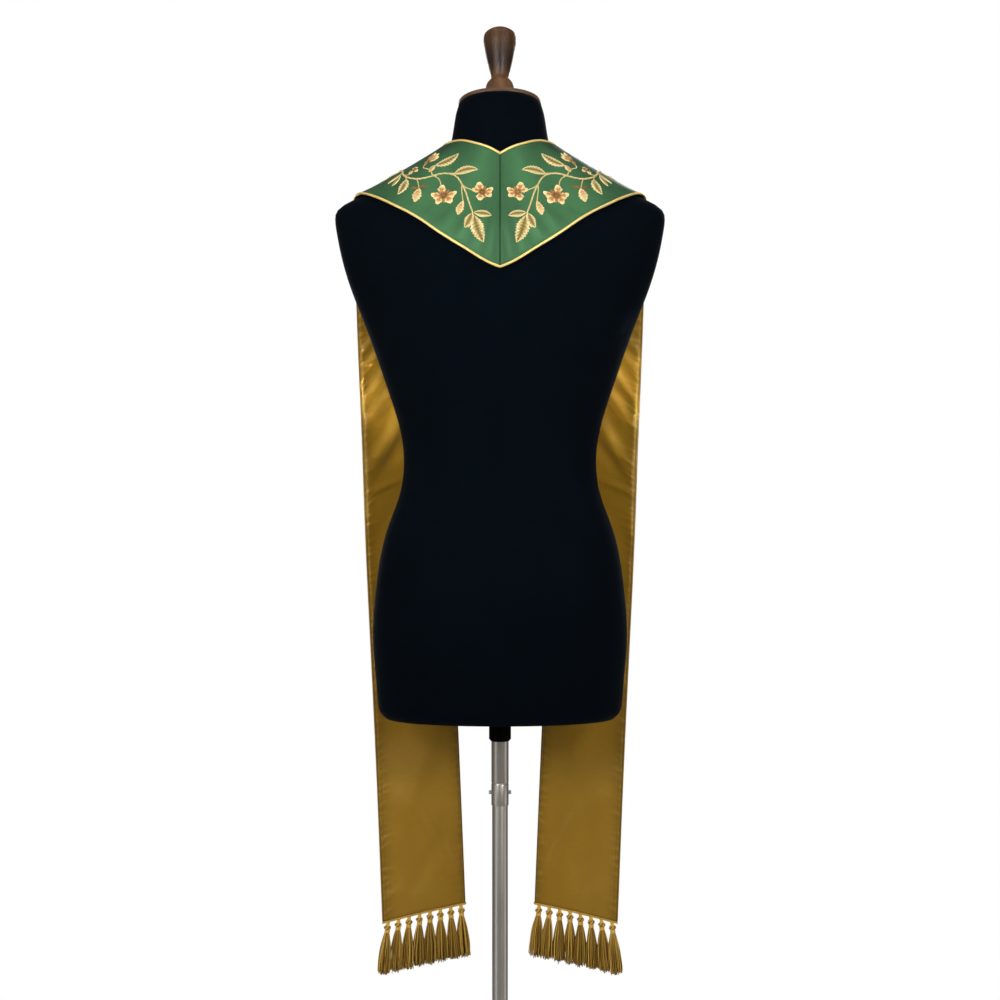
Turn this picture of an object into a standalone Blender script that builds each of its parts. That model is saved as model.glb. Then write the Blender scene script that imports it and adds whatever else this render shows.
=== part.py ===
"""A clerical stole worn on a limbless dress form, which stands on a two-piece pole and a round base.

Metres, +Z up. The wearer faces -Y and the wearer's left is +X. The origin is the middle of the base's
underside.

The stole is two bands, one for each side, that meet at a seam in the middle of the back. Each band is a
grid of points: run counts metres from that seam, over the shoulder and down the front to the hem, and
share goes from 0 at the neck edge to 1 at the outer edge. Every other piece of the stole is made from
the same grid, moved out.
"""

import math
from collections import namedtuple

import bmesh
import bpy
import numpy as np
from mathutils import Matrix, Vector

# ---- the stand ------------------------------------------------------------------------------------
FLOOR_TO_FORM = 0.698  # height of the form's lower edge
BASE_RADIUS = 0.180
BASE_THICKNESS = 0.008
BASE_EDGE = 0.0025
BASE_SIDES = 48
EDGE_MIDDLE = 0.3  # the middle point of an edge rounded in two steps, as a share of its size
BOSS_RADIUS = 0.0190
BOSS_HEIGHT = 0.0300
BOSS_EDGE = 0.0020
SEAM_GAP = 0.0003  # between pieces that are sewn or set together
UPPER_RADIUS = 0.0112
UPPER_BOTTOM = 0.5835
UPPER_TOP = FLOOR_TO_FORM + 0.100
LOWER_RADIUS = 0.0102
STOP_HEIGHT = 0.6120  # a groove rolled into the upper tube, which the lower one comes up against
STOP_DEPTH = 0.0005
STOP_HALF = 0.0010
BUTTON_RADIUS = 0.0026
BUTTON_HEIGHT = 0.6000
BUTTON_REACH = 0.0036  # beyond the upper tube's skin
BUTTON_DOME = 0.0012
BUTTON_FLAT = 0.0013  # radius of the flat on its end
BUTTON_SHOULDER = 0.00226  # radius halfway round its edge
BUTTON_FOOT = 0.0061  # from the pole's axis to its inner end
SOCKET_RADIUS = 0.0143
SOCKET_LENGTH = 0.0310
SOCKET_CHAMFER = 0.0030
SOCKET_CHAMFER_WIDTH = 0.0018
ROUND_SIDES = 32
SMALL_SIDES = 12
CUT_PAST = 0.010  # how far a cutter goes on beyond the piece that it cuts

# ---- the dress form -------------------------------------------------------------------------------
Section = namedtuple("Section", "height half_width back front middle")
FORM_SECTIONS = [  # heights are above the form's lower edge; back and front are reaches from the pole's axis
    Section(0.000, 0.1480, 0.103, 0.096, 0.000),
    Section(0.005, 0.1535, 0.108, 0.101, 0.000),
    Section(0.017, 0.1580, 0.113, 0.105, 0.000),
    Section(0.050, 0.1610, 0.118, 0.110, 0.000),
    Section(0.107, 0.1650, 0.121, 0.114, 0.000),
    Section(0.157, 0.1620, 0.115, 0.114, 0.000),
    Section(0.207, 0.1555, 0.103, 0.110, 0.000),
    Section(0.247, 0.1455, 0.091, 0.104, 0.000),
    Section(0.287, 0.1310, 0.082, 0.098, 0.000),
    Section(0.327, 0.1250, 0.080, 0.095, 0.000),
    Section(0.367, 0.1285, 0.084, 0.098, 0.000),
    Section(0.417, 0.1430, 0.093, 0.105, 0.000),
    Section(0.467, 0.1600, 0.102, 0.117, 0.000),
    Section(0.512, 0.1765, 0.108, 0.127, 0.000),
    Section(0.557, 0.1940, 0.111, 0.122, 0.000),
    Section(0.600, 0.2065, 0.109, 0.111, 0.001),
    Section(0.628, 0.2120, 0.104, 0.100, 0.002),
    Section(0.646, 0.2140, 0.095, 0.092, 0.003),
    Section(0.659, 0.2085, 0.089, 0.086, 0.003),
    Section(0.669, 0.1915, 0.083, 0.081, 0.003),
    Section(0.680, 0.1675, 0.079, 0.075, 0.002),
    Section(0.693, 0.1430, 0.075, 0.070, 0.001),
    Section(0.706, 0.1195, 0.070, 0.066, -0.001),
    Section(0.719, 0.0965, 0.064, 0.064, -0.003),
    Section(0.731, 0.0760, 0.057, 0.063, -0.005),
    Section(0.741, 0.0665, 0.052, 0.063, -0.007),
    Section(0.754, 0.0625, 0.047, 0.065, -0.009),
    Section(0.769, 0.0602, 0.041, 0.068, -0.013),
    Section(0.7843, 0.0578, 0.036, 0.071, -0.017),
    Section(0.7954, 0.0546, 0.031, 0.071, -0.020),
]
FORM_SQUARENESS = 2.2  # 2 is an ellipse, more is fuller at the corners
BUST_RISE = 0.014
BUST_HEIGHT = 0.510
BUST_SPREAD = 0.055  # up and down
BUST_TURN = math.radians(38)  # from straight ahead
BUST_WIDTH = math.radians(24)
NECK_TILT = math.radians(13)  # the top of the neck leans forward
FORM_SIDES = 36

CAP_PROFILE = [  # share of the neck's size, height above the neck
    (0.990, 0.0003),
    (1.005, 0.0023),
    (0.990, 0.0049),
    (0.930, 0.0065),
    (0.700, 0.0088),
    (0.420, 0.0095),
]
FINIAL_SEAT = 0.0098  # the knob's foot above the neck
FINIAL_SIDES = 28
FINIAL_PROFILE = [  # radius, height above the cap
    (0.0188, 0.0000),
    (0.0190, 0.0060),
    (0.0190, 0.0160),
    (0.0186, 0.0207),
    (0.0177, 0.0234),
    (0.0164, 0.0261),
    (0.0142, 0.0288),
    (0.0120, 0.0317),
    (0.0117, 0.0342),
    (0.0121, 0.0369),
    (0.0138, 0.0436),
    (0.0166, 0.0550),
    (0.0187, 0.0658),
    (0.0205, 0.0766),
    (0.0215, 0.0820),
    (0.0218, 0.0874),
    (0.0213, 0.0928),
    (0.0203, 0.0955),
    (0.0176, 0.0982),
    (0.0136, 0.1009),
    (0.0100, 0.1025),
]
FINIAL_TOP = 0.1044
FINIAL_TIP = 0.0025  # radius of the flat at its top

# ---- the stole ------------------------------------------------------------------------------------
LINING_THICKNESS = 0.0010
FACE_THICKNESS = 0.0014
CLOTH_CLEARANCE = 0.0034  # between the form and the corners of the cloth's facets
CLEARANCE_SOFTNESS = 0.0020  # how gently the cloth leaves the form
SLOPE_STEP = 0.0005  # between the points that a slope is worked out from
NEAR_EDGE = 0.01  # in shares, likewise
PIPING_CLEARANCE = 0.0026  # between the form and the piping's round
BACK_SEAM_HALF = 0.0003
PIPING_RADIUS = 0.0020
PIPING_GAP = 0.0006
BRAID_RADIUS = 0.0022
BRAID_POINTS = 9

Station = namedtuple("Station", "run neck_x neck_y neck_z outer_x outer_y outer_z")
BAND_STATIONS = [  # heights are above the form's lower edge
    Station(0.000, 0.0000, 0.069, 0.7163, 0.0000, 0.111, 0.5725),
    Station(0.012, 0.0035, 0.069, 0.7185, 0.0110, 0.111, 0.5770),
    Station(0.045, 0.0150, 0.067, 0.7253, 0.0400, 0.107, 0.5945),
    Station(0.090, 0.0320, 0.060, 0.7320, 0.0800, 0.098, 0.6200),
    Station(0.135, 0.0508, 0.048, 0.7375, 0.1220, 0.082, 0.6478),
    Station(0.175, 0.0680, 0.027, 0.7375, 0.1560, 0.056, 0.6630),
    Station(0.215, 0.0775, -0.004, 0.7345, 0.1795, 0.016, 0.6700),
    Station(0.260, 0.0800, -0.034, 0.7200, 0.1870, -0.032, 0.6560),
    Station(0.310, 0.0810, -0.062, 0.6830, 0.1915, -0.060, 0.6150),
    Station(0.370, 0.0815, -0.090, 0.6290, 0.1920, -0.083, 0.5620),
    Station(0.450, 0.0815, -0.123, 0.5550, 0.1904, -0.100, 0.4870),
    Station(0.560, 0.0793, -0.142, 0.4500, 0.1865, -0.110, 0.3850),
    Station(0.720, 0.0743, -0.148, 0.2870, 0.1812, -0.114, 0.2350),
    Station(0.960, 0.0623, -0.149, 0.0320, 0.1697, -0.116, -0.0110),
    Station(1.240, 0.0493, -0.150, -0.2748, 0.1582, -0.118, -0.2935),
]
BAND_LENGTH = BAND_STATIONS[-1].run
BAND_CAMBER = 0.0050  # how far the middle of the hanging band stands out from its edges
CAMBER_STARTS = 0.38
CAMBER_FULL = 0.62

Fold = namedtuple("Fold", "run share slant long wide rise")
BAND_FOLDS = [  # soft ridges and troughs; slant is metres of run for each unit of share
    Fold(0.640, 0.45, 0.10, 0.060, 0.45, 0.0040),
    Fold(0.760, 0.60, -0.08, 0.070, 0.50, -0.0045),
    Fold(0.900, 0.40, 0.12, 0.085, 0.45, 0.0040),
    Fold(1.060, 0.60, -0.10, 0.080, 0.40, -0.0035),
]
BAND_COLUMNS = 8
Stretch = namedtuple("Stretch", "start rows")
BAND_ROWS = [  # close where the band bends over the shoulder, and wide where it hangs
    Stretch(0.000, 7),
    Stretch(0.150, 12),
    Stretch(0.350, 5),
    Stretch(0.550, 11),
]

HEM_REACH = 0.038  # how far the braid and the tassels go past the cloth's edges, under the piping, in shares
HEM_GAP = 0.0006
HEM_STEP = 0.020  # of run, over which the way down at the hem is measured
TASSELS = 8
TASSEL_FAN = math.radians(5)  # how far the end ones lean out
TASSEL_SIDES = 8
TASSEL_PROFILE = [  # radius, height below the braid
    (0.0018, 0.0000),
    (0.0020, 0.0030),
    (0.0046, 0.0055),
    (0.0046, 0.0090),
    (0.0034, 0.0125),
    (0.0038, 0.0180),
    (0.0060, 0.0380),
    (0.0070, 0.0690),
]

COLOURS = {  # base colour, roughness, metallic
    "green satin": ((0.045, 0.155, 0.060), 0.45, 0.0),
    "gold satin": ((0.330, 0.190, 0.030), 0.40, 0.0),
    "gold cord": ((0.700, 0.480, 0.130), 0.45, 0.0),
    "gold yarn": ((0.400, 0.230, 0.050), 0.60, 0.0),
    "black jersey": ((0.006, 0.008, 0.012), 0.90, 0.0),
    "walnut": ((0.110, 0.045, 0.018), 0.35, 0.0),
    "black plastic": ((0.010, 0.010, 0.010), 0.45, 0.0),
    "brushed steel": ((0.420, 0.410, 0.390), 0.35, 1.0),
}


# ---- Blender helpers ------------------------------------------------------------------------------
def start_clean():
    """Removes whatever the new file came with."""
    for old in list(bpy.data.objects):
        bpy.data.objects.remove(old)


def collection(name):
    made = bpy.data.collections.new(name)
    bpy.context.scene.collection.children.link(made)
    return made


def material(name):
    if name in bpy.data.materials:
        return bpy.data.materials[name]
    colour, roughness, metallic = COLOURS[name]
    made = bpy.data.materials.new(name)
    made.use_nodes = True
    shader = made.node_tree.nodes["Principled BSDF"]
    shader.inputs["Base Color"].default_value = (*colour, 1.0)
    shader.inputs["Roughness"].default_value = roughness
    shader.inputs["Metallic"].default_value = metallic
    return made


def add(name, data, finish, where):
    """A named object with one material, in a collection."""
    made = bpy.data.objects.new(name, data)
    where.objects.link(made)
    made.data.materials.append(material(finish))
    return made


def shade_round(mesh, sharp_degrees=40):
    mesh.shade_smooth()
    mesh.set_sharp_from_angle(angle=math.radians(sharp_degrees))


def mesh_of_grid(name, points, closed=False):
    """A mesh of quads over points[row, column]; closed joins the last column to the first."""
    rows, columns = points.shape[:2]
    index = np.arange(rows * columns).reshape(rows, columns)
    right = np.roll(index, -1, axis=1) if closed else index[:, 1:]
    left = index if closed else index[:, :-1]
    quads = np.stack([left[:-1], right[:-1], right[1:], left[1:]], axis=-1).reshape(-1, 4)
    mesh = bpy.data.meshes.new(name)
    mesh.from_pydata(points.reshape(-1, 3).tolist(), [], quads.tolist())
    return mesh


def capped_loft(name, rings):
    """A closed mesh through rings[row, column]: the lowest first, and anticlockwise seen from above."""
    mesh = mesh_of_grid(name, rings, closed=True)
    work = bmesh.new()
    work.from_mesh(mesh)
    work.verts.ensure_lookup_table()
    around = rings.shape[1]
    work.faces.new([work.verts[i] for i in reversed(range(around))])
    work.faces.new([work.verts[i] for i in range(len(work.verts) - around, len(work.verts))])
    work.to_mesh(mesh)
    work.free()
    shade_round(mesh)
    return mesh


def turned(name, profile, finish, where, sides=ROUND_SIDES, frame=None):
    """A solid turned about its own Z from (radius, height) pairs, listed from the top down."""
    mesh = bpy.data.meshes.new(name)
    line = [(0.0, 0.0, profile[0][1])] + [(r, 0.0, z) for r, z in profile] + [(0.0, 0.0, profile[-1][1])]
    mesh.from_pydata(line, [(i, i + 1) for i in range(len(line) - 1)], [])
    made = add(name, mesh, finish, where)
    screw = made.modifiers.new("Screw", "SCREW")
    screw.steps = screw.render_steps = sides
    screw.use_merge_vertices = True
    screw.merge_threshold = 0.00001
    screw.use_smooth_shade = True
    made.matrix_world = frame or Matrix.Identity(4)
    return made


def rod(name, radius, bottom, top, where, sides=ROUND_SIDES):
    """An upright cylinder on the pole's axis."""
    bpy.ops.mesh.primitive_cylinder_add(
        vertices=sides, radius=radius, depth=top - bottom, location=(0, 0, (top + bottom) / 2)
    )
    made = bpy.context.object
    made.name = made.data.name = name
    for old in made.users_collection:
        old.objects.unlink(made)
    where.objects.link(made)
    shade_round(made.data)
    return made


def cut(piece, cutter):
    """Takes the cutter out of the piece, and hides it."""
    cutter.hide_render = True
    cutter.display_type = "WIRE"
    boolean = piece.modifiers.new("Cut " + cutter.name, "BOOLEAN")
    boolean.object = cutter
    boolean.operation = "DIFFERENCE"


def tube_along(name, path, radius, finish, where):
    """A round cord through the points of path."""
    curve = bpy.data.curves.new(name, "CURVE")
    curve.dimensions = "3D"
    curve.bevel_depth = radius
    curve.bevel_resolution = 2
    curve.use_fill_caps = True
    spline = curve.splines.new("POLY")
    spline.points.add(len(path) - 1)
    for point, place in zip(spline.points, path):
        point.co = (*place, 1.0)
    return add(name, curve, finish, where)


# ---- curves through tables ------------------------------------------------------------------------
def smooth_curve(knots, values, at):
    """The natural cubic spline through the table's rows: it bends as little as it can between them."""
    knots, values, at = (np.asarray(x, float) for x in (knots, values, at))
    steps = np.diff(knots)
    slopes = np.diff(values, axis=0) / steps[:, None]
    count = len(knots)
    system = np.eye(count)
    change = np.zeros_like(values)
    for i in range(1, count - 1):
        system[i, i - 1 : i + 2] = steps[i - 1], 2 * (steps[i - 1] + steps[i]), steps[i]
        change[i] = 6 * (slopes[i] - slopes[i - 1])
    bend = np.linalg.solve(system, change)
    i = np.clip(np.searchsorted(knots, at, side="right") - 1, 0, count - 2)
    step = steps[i][..., None]
    after = (at - knots[i])[..., None] / step
    before = 1 - after
    straight = before * values[i] + after * values[i + 1]
    curved = (before**3 - before) * bend[i] + (after**3 - after) * bend[i + 1]
    return straight + curved * step**2 / 6


def columns_of(table):
    """The table's first column, and the others as one array."""
    whole = np.array(table)
    return whole[:, 0], whole[:, 1:]


def ease(value, start, full):
    """0 before start, 1 after full, and an even S between them."""
    t = np.clip((value - start) / (full - start), 0, 1)
    return t * t * (3 - 2 * t)


# ---- the form's skin ------------------------------------------------------------------------------
def form_section(height):
    """Half width, back, front and middle at this height; above and below the table its ends go on."""
    height = np.clip(height, FORM_SECTIONS[0].height, FORM_SECTIONS[-1].height)
    return np.moveaxis(smooth_curve(*columns_of(FORM_SECTIONS), height), -1, 0)


def form_radius(angle, height):
    """From the section's middle to the skin. Angle 0 is +X and a quarter turn is the back, +Y."""
    half_width, back, front, middle = form_section(height)
    side, depth_way = np.cos(angle), np.sin(angle)
    depth = np.where(depth_way > 0, back - middle, front + middle)
    power = FORM_SQUARENESS
    radius = ((np.abs(side) / half_width) ** power + (np.abs(depth_way) / depth) ** power) ** (-1 / power)
    from_front = np.abs(np.arctan2(side, -depth_way))
    aside = (from_front - BUST_TURN) / BUST_WIDTH
    above = (height - BUST_HEIGHT) / BUST_SPREAD
    return radius + BUST_RISE * np.exp(-(aside**2) - above**2)


def form_distance(points):
    """How far points stand off the skin, measured level; heights are above the form's lower edge."""
    middle = form_section(points[..., 2])[3]
    across, along = points[..., 0], points[..., 1] - middle
    return np.hypot(across, along) - form_radius(np.arctan2(along, across), points[..., 2])


def clearance(points):
    """The true distance off the skin and the direction straight off it."""
    level = form_distance(points)
    ahead = [form_distance(points + SLOPE_STEP * axis) for axis in np.eye(3)]
    slope = np.stack([(value - level) / SLOPE_STEP for value in ahead], axis=-1)
    steepness = np.linalg.norm(slope, axis=-1, keepdims=True)
    return level / steepness[..., 0], slope / steepness


def kept_clear(points, least=CLOTH_CLEARANCE):
    """Points moved straight off the form until they are clear of it, easing off where they leave it."""
    distance, out = clearance(points)
    excess = (distance - least) / CLEARANCE_SOFTNESS
    wanted = least + CLEARANCE_SOFTNESS * np.logaddexp(0, excess)
    points = points + out * (wanted - distance)[..., None]
    for _ in range(3):
        distance, out = clearance(points)
        points = points + out * np.maximum(least - distance, 0)[..., None]
    return points


def form_rings():
    """The form's level sections from its lower edge to the top of the neck, which leans forward."""
    angle = np.linspace(0, 2 * math.pi, FORM_SIDES, endpoint=False)
    height = np.array([row.height for row in FORM_SECTIONS])[:, None]
    radius = form_radius(angle, height)
    middle = form_section(height)[3]
    along = middle + radius * np.sin(angle)
    lean = math.tan(NECK_TILT) * ease(height, FORM_SECTIONS[-5].height, FORM_SECTIONS[-1].height)
    rise = height + lean * (along - middle)
    return np.stack([radius * np.cos(angle), along, rise + FLOOR_TO_FORM], axis=-1)


def neck_frame():
    """The middle of the neck's top, leaning forward with it."""
    top = FORM_SECTIONS[-1]
    place = Matrix.Translation((0, top.middle, FLOOR_TO_FORM + top.height))
    return place @ Matrix.Rotation(NECK_TILT, 4, "X")


# ---- the stole's bands ----------------------------------------------------------------------------
def band_base(run, share):
    """The band's inner surface before it is moved out: straight from edge to edge, a little cambered."""
    edges = smooth_curve(*columns_of(BAND_STATIONS), run)
    points = edges[..., :3] * (1 - share[..., None]) + edges[..., 3:] * share[..., None]
    out = BAND_CAMBER * ease(run, CAMBER_STARTS, CAMBER_FULL) * 4 * share * (1 - share)
    for fold in BAND_FOLDS:
        across = (share - fold.share) / fold.wide
        down = (run - fold.run - fold.slant * (share - fold.share)) / fold.long
        out = out + fold.rise * np.exp(-(across**2) - down**2)
    points[..., 1] -= out
    return kept_clear(points)


def band_normals(points):
    """Unit normals of a grid, pointing away from the form. The seam in the back has none sideways."""
    normals = np.cross(np.gradient(points, axis=0), np.gradient(points, axis=1))
    normals[0, :, 0] = 0
    normals /= np.linalg.norm(normals, axis=-1, keepdims=True)
    return normals


def band_runs():
    """Where the rows of the grid are, from the seam in the back to the hem."""
    starts = [stretch.start for stretch in BAND_ROWS] + [BAND_LENGTH]
    parts = [
        np.linspace(start, end, stretch.rows, endpoint=False)
        for stretch, start, end in zip(BAND_ROWS, starts, starts[1:])
    ]
    return np.concatenate(parts + [[BAND_LENGTH]])


def band_grid(lift):
    """The band's points on the wearer's left, lift metres out from its inner surface."""
    run, share = np.meshgrid(band_runs(), np.linspace(0, 1, BAND_COLUMNS), indexing="ij")
    points = band_base(run, share)
    points = points + lift * band_normals(points)
    points[0, :, 0] = BACK_SEAM_HALF
    points[..., 2] += FLOOR_TO_FORM
    return points


def wall(name, side, lift, thickness, finish, where):
    """One wall of a band: side 1 is the wearer's left, and -1 mirrors it."""
    grid = band_grid(lift) * (side, 1, 1)
    made = add(name, mesh_of_grid(name, grid[:, :: -side]), finish, where)
    shade_round(made.data)
    split = made.modifiers.new("Triangles", "TRIANGULATE")
    split.quad_method = "FIXED"  # every wall of a band is split the same way, so that they nest
    solidify = made.modifiers.new("Thickness", "SOLIDIFY")
    solidify.thickness = thickness
    solidify.offset = 1
    return made


def edge_path(share, beyond, lift):
    """A line beside one long edge of the band, from the seam in the back to the hem."""
    runs = band_runs()
    inside = share + (NEAR_EDGE if share < 0.5 else -NEAR_EDGE)
    grid = band_base(*np.meshgrid(runs, np.array([share, inside]), indexing="ij"))
    edge = grid[:, 0]
    away = edge - grid[:, 1]
    along = np.gradient(edge, axis=0)
    along[0] = 1, 0, 0
    along /= np.linalg.norm(along, axis=1, keepdims=True)
    away -= (away * along).sum(axis=1, keepdims=True) * along
    away /= np.linalg.norm(away, axis=1, keepdims=True)
    out = np.cross(along, away) * (-1 if share < 0.5 else 1)
    path = kept_clear(edge + beyond * away + lift * out, PIPING_RADIUS + PIPING_CLEARANCE)
    path[0, 0] = 0
    path[:, 2] += FLOOR_TO_FORM
    return path


def both_sides(path):
    """A line from one hem to the other, through the seam in the back."""
    return np.concatenate([path[:0:-1] * (-1, 1, 1), path])


def hem_point(share):
    """A point of the left hem, midway through the cloth, and the way down the band there."""
    run = np.array([BAND_LENGTH - HEM_STEP, BAND_LENGTH])
    points = band_base(run, np.full(2, share)) + (0, 0, FLOOR_TO_FORM)
    down = points[1] - points[0]
    return points[1], down / np.linalg.norm(down)


# ---- the pieces -----------------------------------------------------------------------------------
def tube_frame(height):
    """Across the pole at this height, with its own Z along the wearer's left."""
    return Matrix.Translation((0, 0, height)) @ Matrix.Rotation(math.pi / 2, 4, "Y")


def make_stand(where, cutters):
    """A round plate with a boss, and a pole of two tubes that two spring buttons hold together."""
    top, rim, middle = BASE_THICKNESS, BASE_RADIUS, BASE_EDGE * EDGE_MIDDLE
    plate = [
        (rim - BASE_EDGE, top),
        (rim - middle, top - middle),
        (rim, top - BASE_EDGE),
        (rim, 0),
    ]
    turned("base_plate", plate, "brushed steel", where, sides=BASE_SIDES)
    foot, rim = BASE_THICKNESS + SEAM_GAP, BOSS_RADIUS
    boss = [(rim - BOSS_EDGE, foot + BOSS_HEIGHT), (rim, foot + BOSS_HEIGHT - BOSS_EDGE), (rim, foot)]
    boss = turned("base_boss", boss, "brushed steel", where)
    low, high = foot - CUT_PAST, foot + BOSS_HEIGHT + CUT_PAST
    cut(boss, rod("boss_bore", LOWER_RADIUS + SEAM_GAP, low, high, cutters))
    lower = rod("lower_tube", LOWER_RADIUS, foot, STOP_HEIGHT - STOP_HALF - SEAM_GAP, where)
    lower.data.materials.append(material("brushed steel"))
    rim, stop = UPPER_RADIUS, STOP_HEIGHT
    upper = [
        (rim, UPPER_TOP),
        (rim, stop + STOP_HALF),
        (rim - STOP_DEPTH, stop),
        (rim, stop - STOP_HALF),
        (rim, UPPER_BOTTOM),
    ]
    upper = turned("upper_tube", upper, "brushed steel", where)
    reach = UPPER_RADIUS + CUT_PAST
    hole = rod("button_hole", BUTTON_RADIUS + SEAM_GAP, -reach, reach, cutters, sides=SMALL_SIDES)
    hole.matrix_world = tube_frame(BUTTON_HEIGHT)
    cut(lower, hole)
    cut(upper, hole)
    cut(upper, rod("upper_bore", LOWER_RADIUS + SEAM_GAP, UPPER_BOTTOM - CUT_PAST, stop - STOP_HALF, cutters))
    end, rim = UPPER_RADIUS + BUTTON_REACH, BUTTON_RADIUS
    button = [
        (BUTTON_FLAT, end),
        (BUTTON_SHOULDER, end - BUTTON_DOME * EDGE_MIDDLE),
        (rim, end - BUTTON_DOME),
        (rim, BUTTON_FOOT),
    ]
    for name, turn in (("left", 0), ("right", math.pi)):
        frame = Matrix.Rotation(turn, 4, "Z") @ tube_frame(BUTTON_HEIGHT)
        turned(f"spring_button_{name}", button, "brushed steel", where, sides=SMALL_SIDES, frame=frame)


def make_form(where, cutters):
    """The body with a blind hole for the pole, and the plastic socket under it that grips the upper tube."""
    torso = add("form_body", capped_loft("form_body", form_rings()), "black jersey", where)
    bore = UPPER_RADIUS + SEAM_GAP
    cut(torso, rod("form_bore", bore, FLOOR_TO_FORM - CUT_PAST, UPPER_TOP + SEAM_GAP, cutters))
    top, rim = FLOOR_TO_FORM - SEAM_GAP, SOCKET_RADIUS
    low = top - SOCKET_LENGTH
    socket = [
        (rim, top),
        (rim, low + SOCKET_CHAMFER),
        (rim - SOCKET_CHAMFER_WIDTH, low),
    ]
    socket = turned("form_socket", socket, "black plastic", where)
    cut(socket, rod("socket_bore", bore, low - CUT_PAST, top + CUT_PAST, cutters))
    make_neck_cap(where)


def make_neck_cap(where):
    """The wooden lid of the neck, an oval with a rounded edge and a low dome, and the knob on it."""
    ring = form_rings()[-1] - (0, FORM_SECTIONS[-1].middle, 0)
    ring[:, 2] = 0
    rings = np.array([ring * (size, size, 1) + (0, 0, height) for size, height in CAP_PROFILE])
    cap = add("neck_cap", capped_loft("neck_cap", rings), "walnut", where)
    cap.matrix_world = neck_frame()
    profile = [(radius, FINIAL_SEAT + height) for radius, height in reversed(FINIAL_PROFILE)]
    profile.insert(0, (FINIAL_TIP, FINIAL_SEAT + FINIAL_TOP))
    turned("neck_finial", profile, "walnut", where, sides=FINIAL_SIDES, frame=neck_frame())


def make_bands(where):
    face_lift = LINING_THICKNESS + SEAM_GAP
    for name, side in (("left", 1), ("right", -1)):
        wall(f"lining_{name}", side, 0, LINING_THICKNESS, "gold satin", where)
        wall(f"face_{name}", side, face_lift, FACE_THICKNESS, "green satin", where)
    beyond = PIPING_RADIUS + PIPING_GAP
    middle = (face_lift + FACE_THICKNESS) / 2
    for name, share in (("piping_neck", 0.0), ("piping_outer", 1.0)):
        tube_along(name, both_sides(edge_path(share, beyond, middle)), PIPING_RADIUS, "gold cord", where)


def make_fringe(where):
    """A braid along each hem, and tassels that hang from it and fan out a little."""
    middle = Vector((0, -(LINING_THICKNESS + SEAM_GAP + FACE_THICKNESS) / 2, 0))
    drop = BRAID_RADIUS + HEM_GAP
    for name, side in (("left", 1), ("right", -1)):
        flip = Vector((side, 1, 1))
        path = []
        for share in np.linspace(-HEM_REACH, 1 + HEM_REACH, BRAID_POINTS):
            place, down = hem_point(share)
            path.append((Vector(place) + middle + drop * Vector(down)) * flip)
        tube_along(f"braid_{name}", path, BRAID_RADIUS, "gold yarn", where)
        for number in range(TASSELS):
            across = (number + 0.5) / TASSELS
            place, down = hem_point(across * (1 + 2 * HEM_REACH) - HEM_REACH)
            head = (Vector(place) + middle + 2 * drop * Vector(down)) * flip
            lean = TASSEL_FAN * (2 * across - 1) * side
            frame = Matrix.Translation(head) @ Matrix.Rotation(-lean, 4, "Y")
            profile = [(radius, -below) for radius, below in TASSEL_PROFILE]
            turned(f"tassel_{name}_{number + 1}", profile, "gold yarn", where, TASSEL_SIDES, frame)


def main():
    start_clean()
    parts = collection("clerical stole on a dress form")
    cutters = collection("cutters")
    make_stand(parts, cutters)
    make_form(parts, cutters)
    make_bands(parts)
    make_fringe(parts)


main()
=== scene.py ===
# %% [markdown]
# # A clerical stole on a dress form
# A stole is a long, narrow vestment worn round the neck. This one is two shaped bands of green satin,
# lined in gold satin and sewn together in the middle of the back, where they meet in a V. It hangs on a
# limbless dress form on a steel pole. The structure is loaded first, and every piece here is made on it.

# %% Load the frame
import math
from collections import namedtuple

import bpy
import numpy as np
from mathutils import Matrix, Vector


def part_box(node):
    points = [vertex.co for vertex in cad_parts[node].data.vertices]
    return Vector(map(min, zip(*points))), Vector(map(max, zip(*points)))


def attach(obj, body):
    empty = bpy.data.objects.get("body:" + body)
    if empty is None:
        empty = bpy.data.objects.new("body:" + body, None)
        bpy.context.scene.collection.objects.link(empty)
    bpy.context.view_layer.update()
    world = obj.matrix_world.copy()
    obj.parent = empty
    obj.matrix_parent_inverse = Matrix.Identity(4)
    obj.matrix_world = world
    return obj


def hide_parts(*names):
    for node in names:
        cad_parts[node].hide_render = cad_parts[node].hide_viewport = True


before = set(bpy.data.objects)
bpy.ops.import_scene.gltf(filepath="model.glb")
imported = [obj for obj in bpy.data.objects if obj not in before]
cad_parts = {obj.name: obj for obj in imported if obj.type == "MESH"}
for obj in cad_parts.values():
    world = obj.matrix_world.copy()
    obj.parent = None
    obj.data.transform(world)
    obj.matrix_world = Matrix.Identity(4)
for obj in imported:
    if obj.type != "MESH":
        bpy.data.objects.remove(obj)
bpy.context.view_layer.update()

MM = 0.001
TURN = 2 * math.pi
FORM_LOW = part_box("form_socket")[1].z + 0.3 * MM  # the height of the form's lower edge
print("form's lower edge at", round(FORM_LOW, 4))

# %% [markdown]
# ## Meshes from grids of points
# Nearly everything here is a sheet or a tube, so its points can be worked out as one numpy array and
# joined row by row. One function turns such grids into a mesh. It takes several grids at a time, because
# a tassel of many yarns is quicker to make, and to draw, as one mesh than as one mesh for each yarn.

# %% Grids into meshes
Loft = namedtuple("Loft", "points uv tint", defaults=(None, None))


def quads_of(rows, columns, closed):
    """Corner numbers of the quads of a grid; closed joins its last column to its first."""
    index = np.arange(rows * columns).reshape(rows, columns)
    right = np.roll(index, -1, axis=1) if closed else index[:, 1:]
    left = index if closed else index[:, :-1]
    return np.stack([left[:-1], right[:-1], right[1:], left[1:]], axis=-1).reshape(-1, 4)


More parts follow.
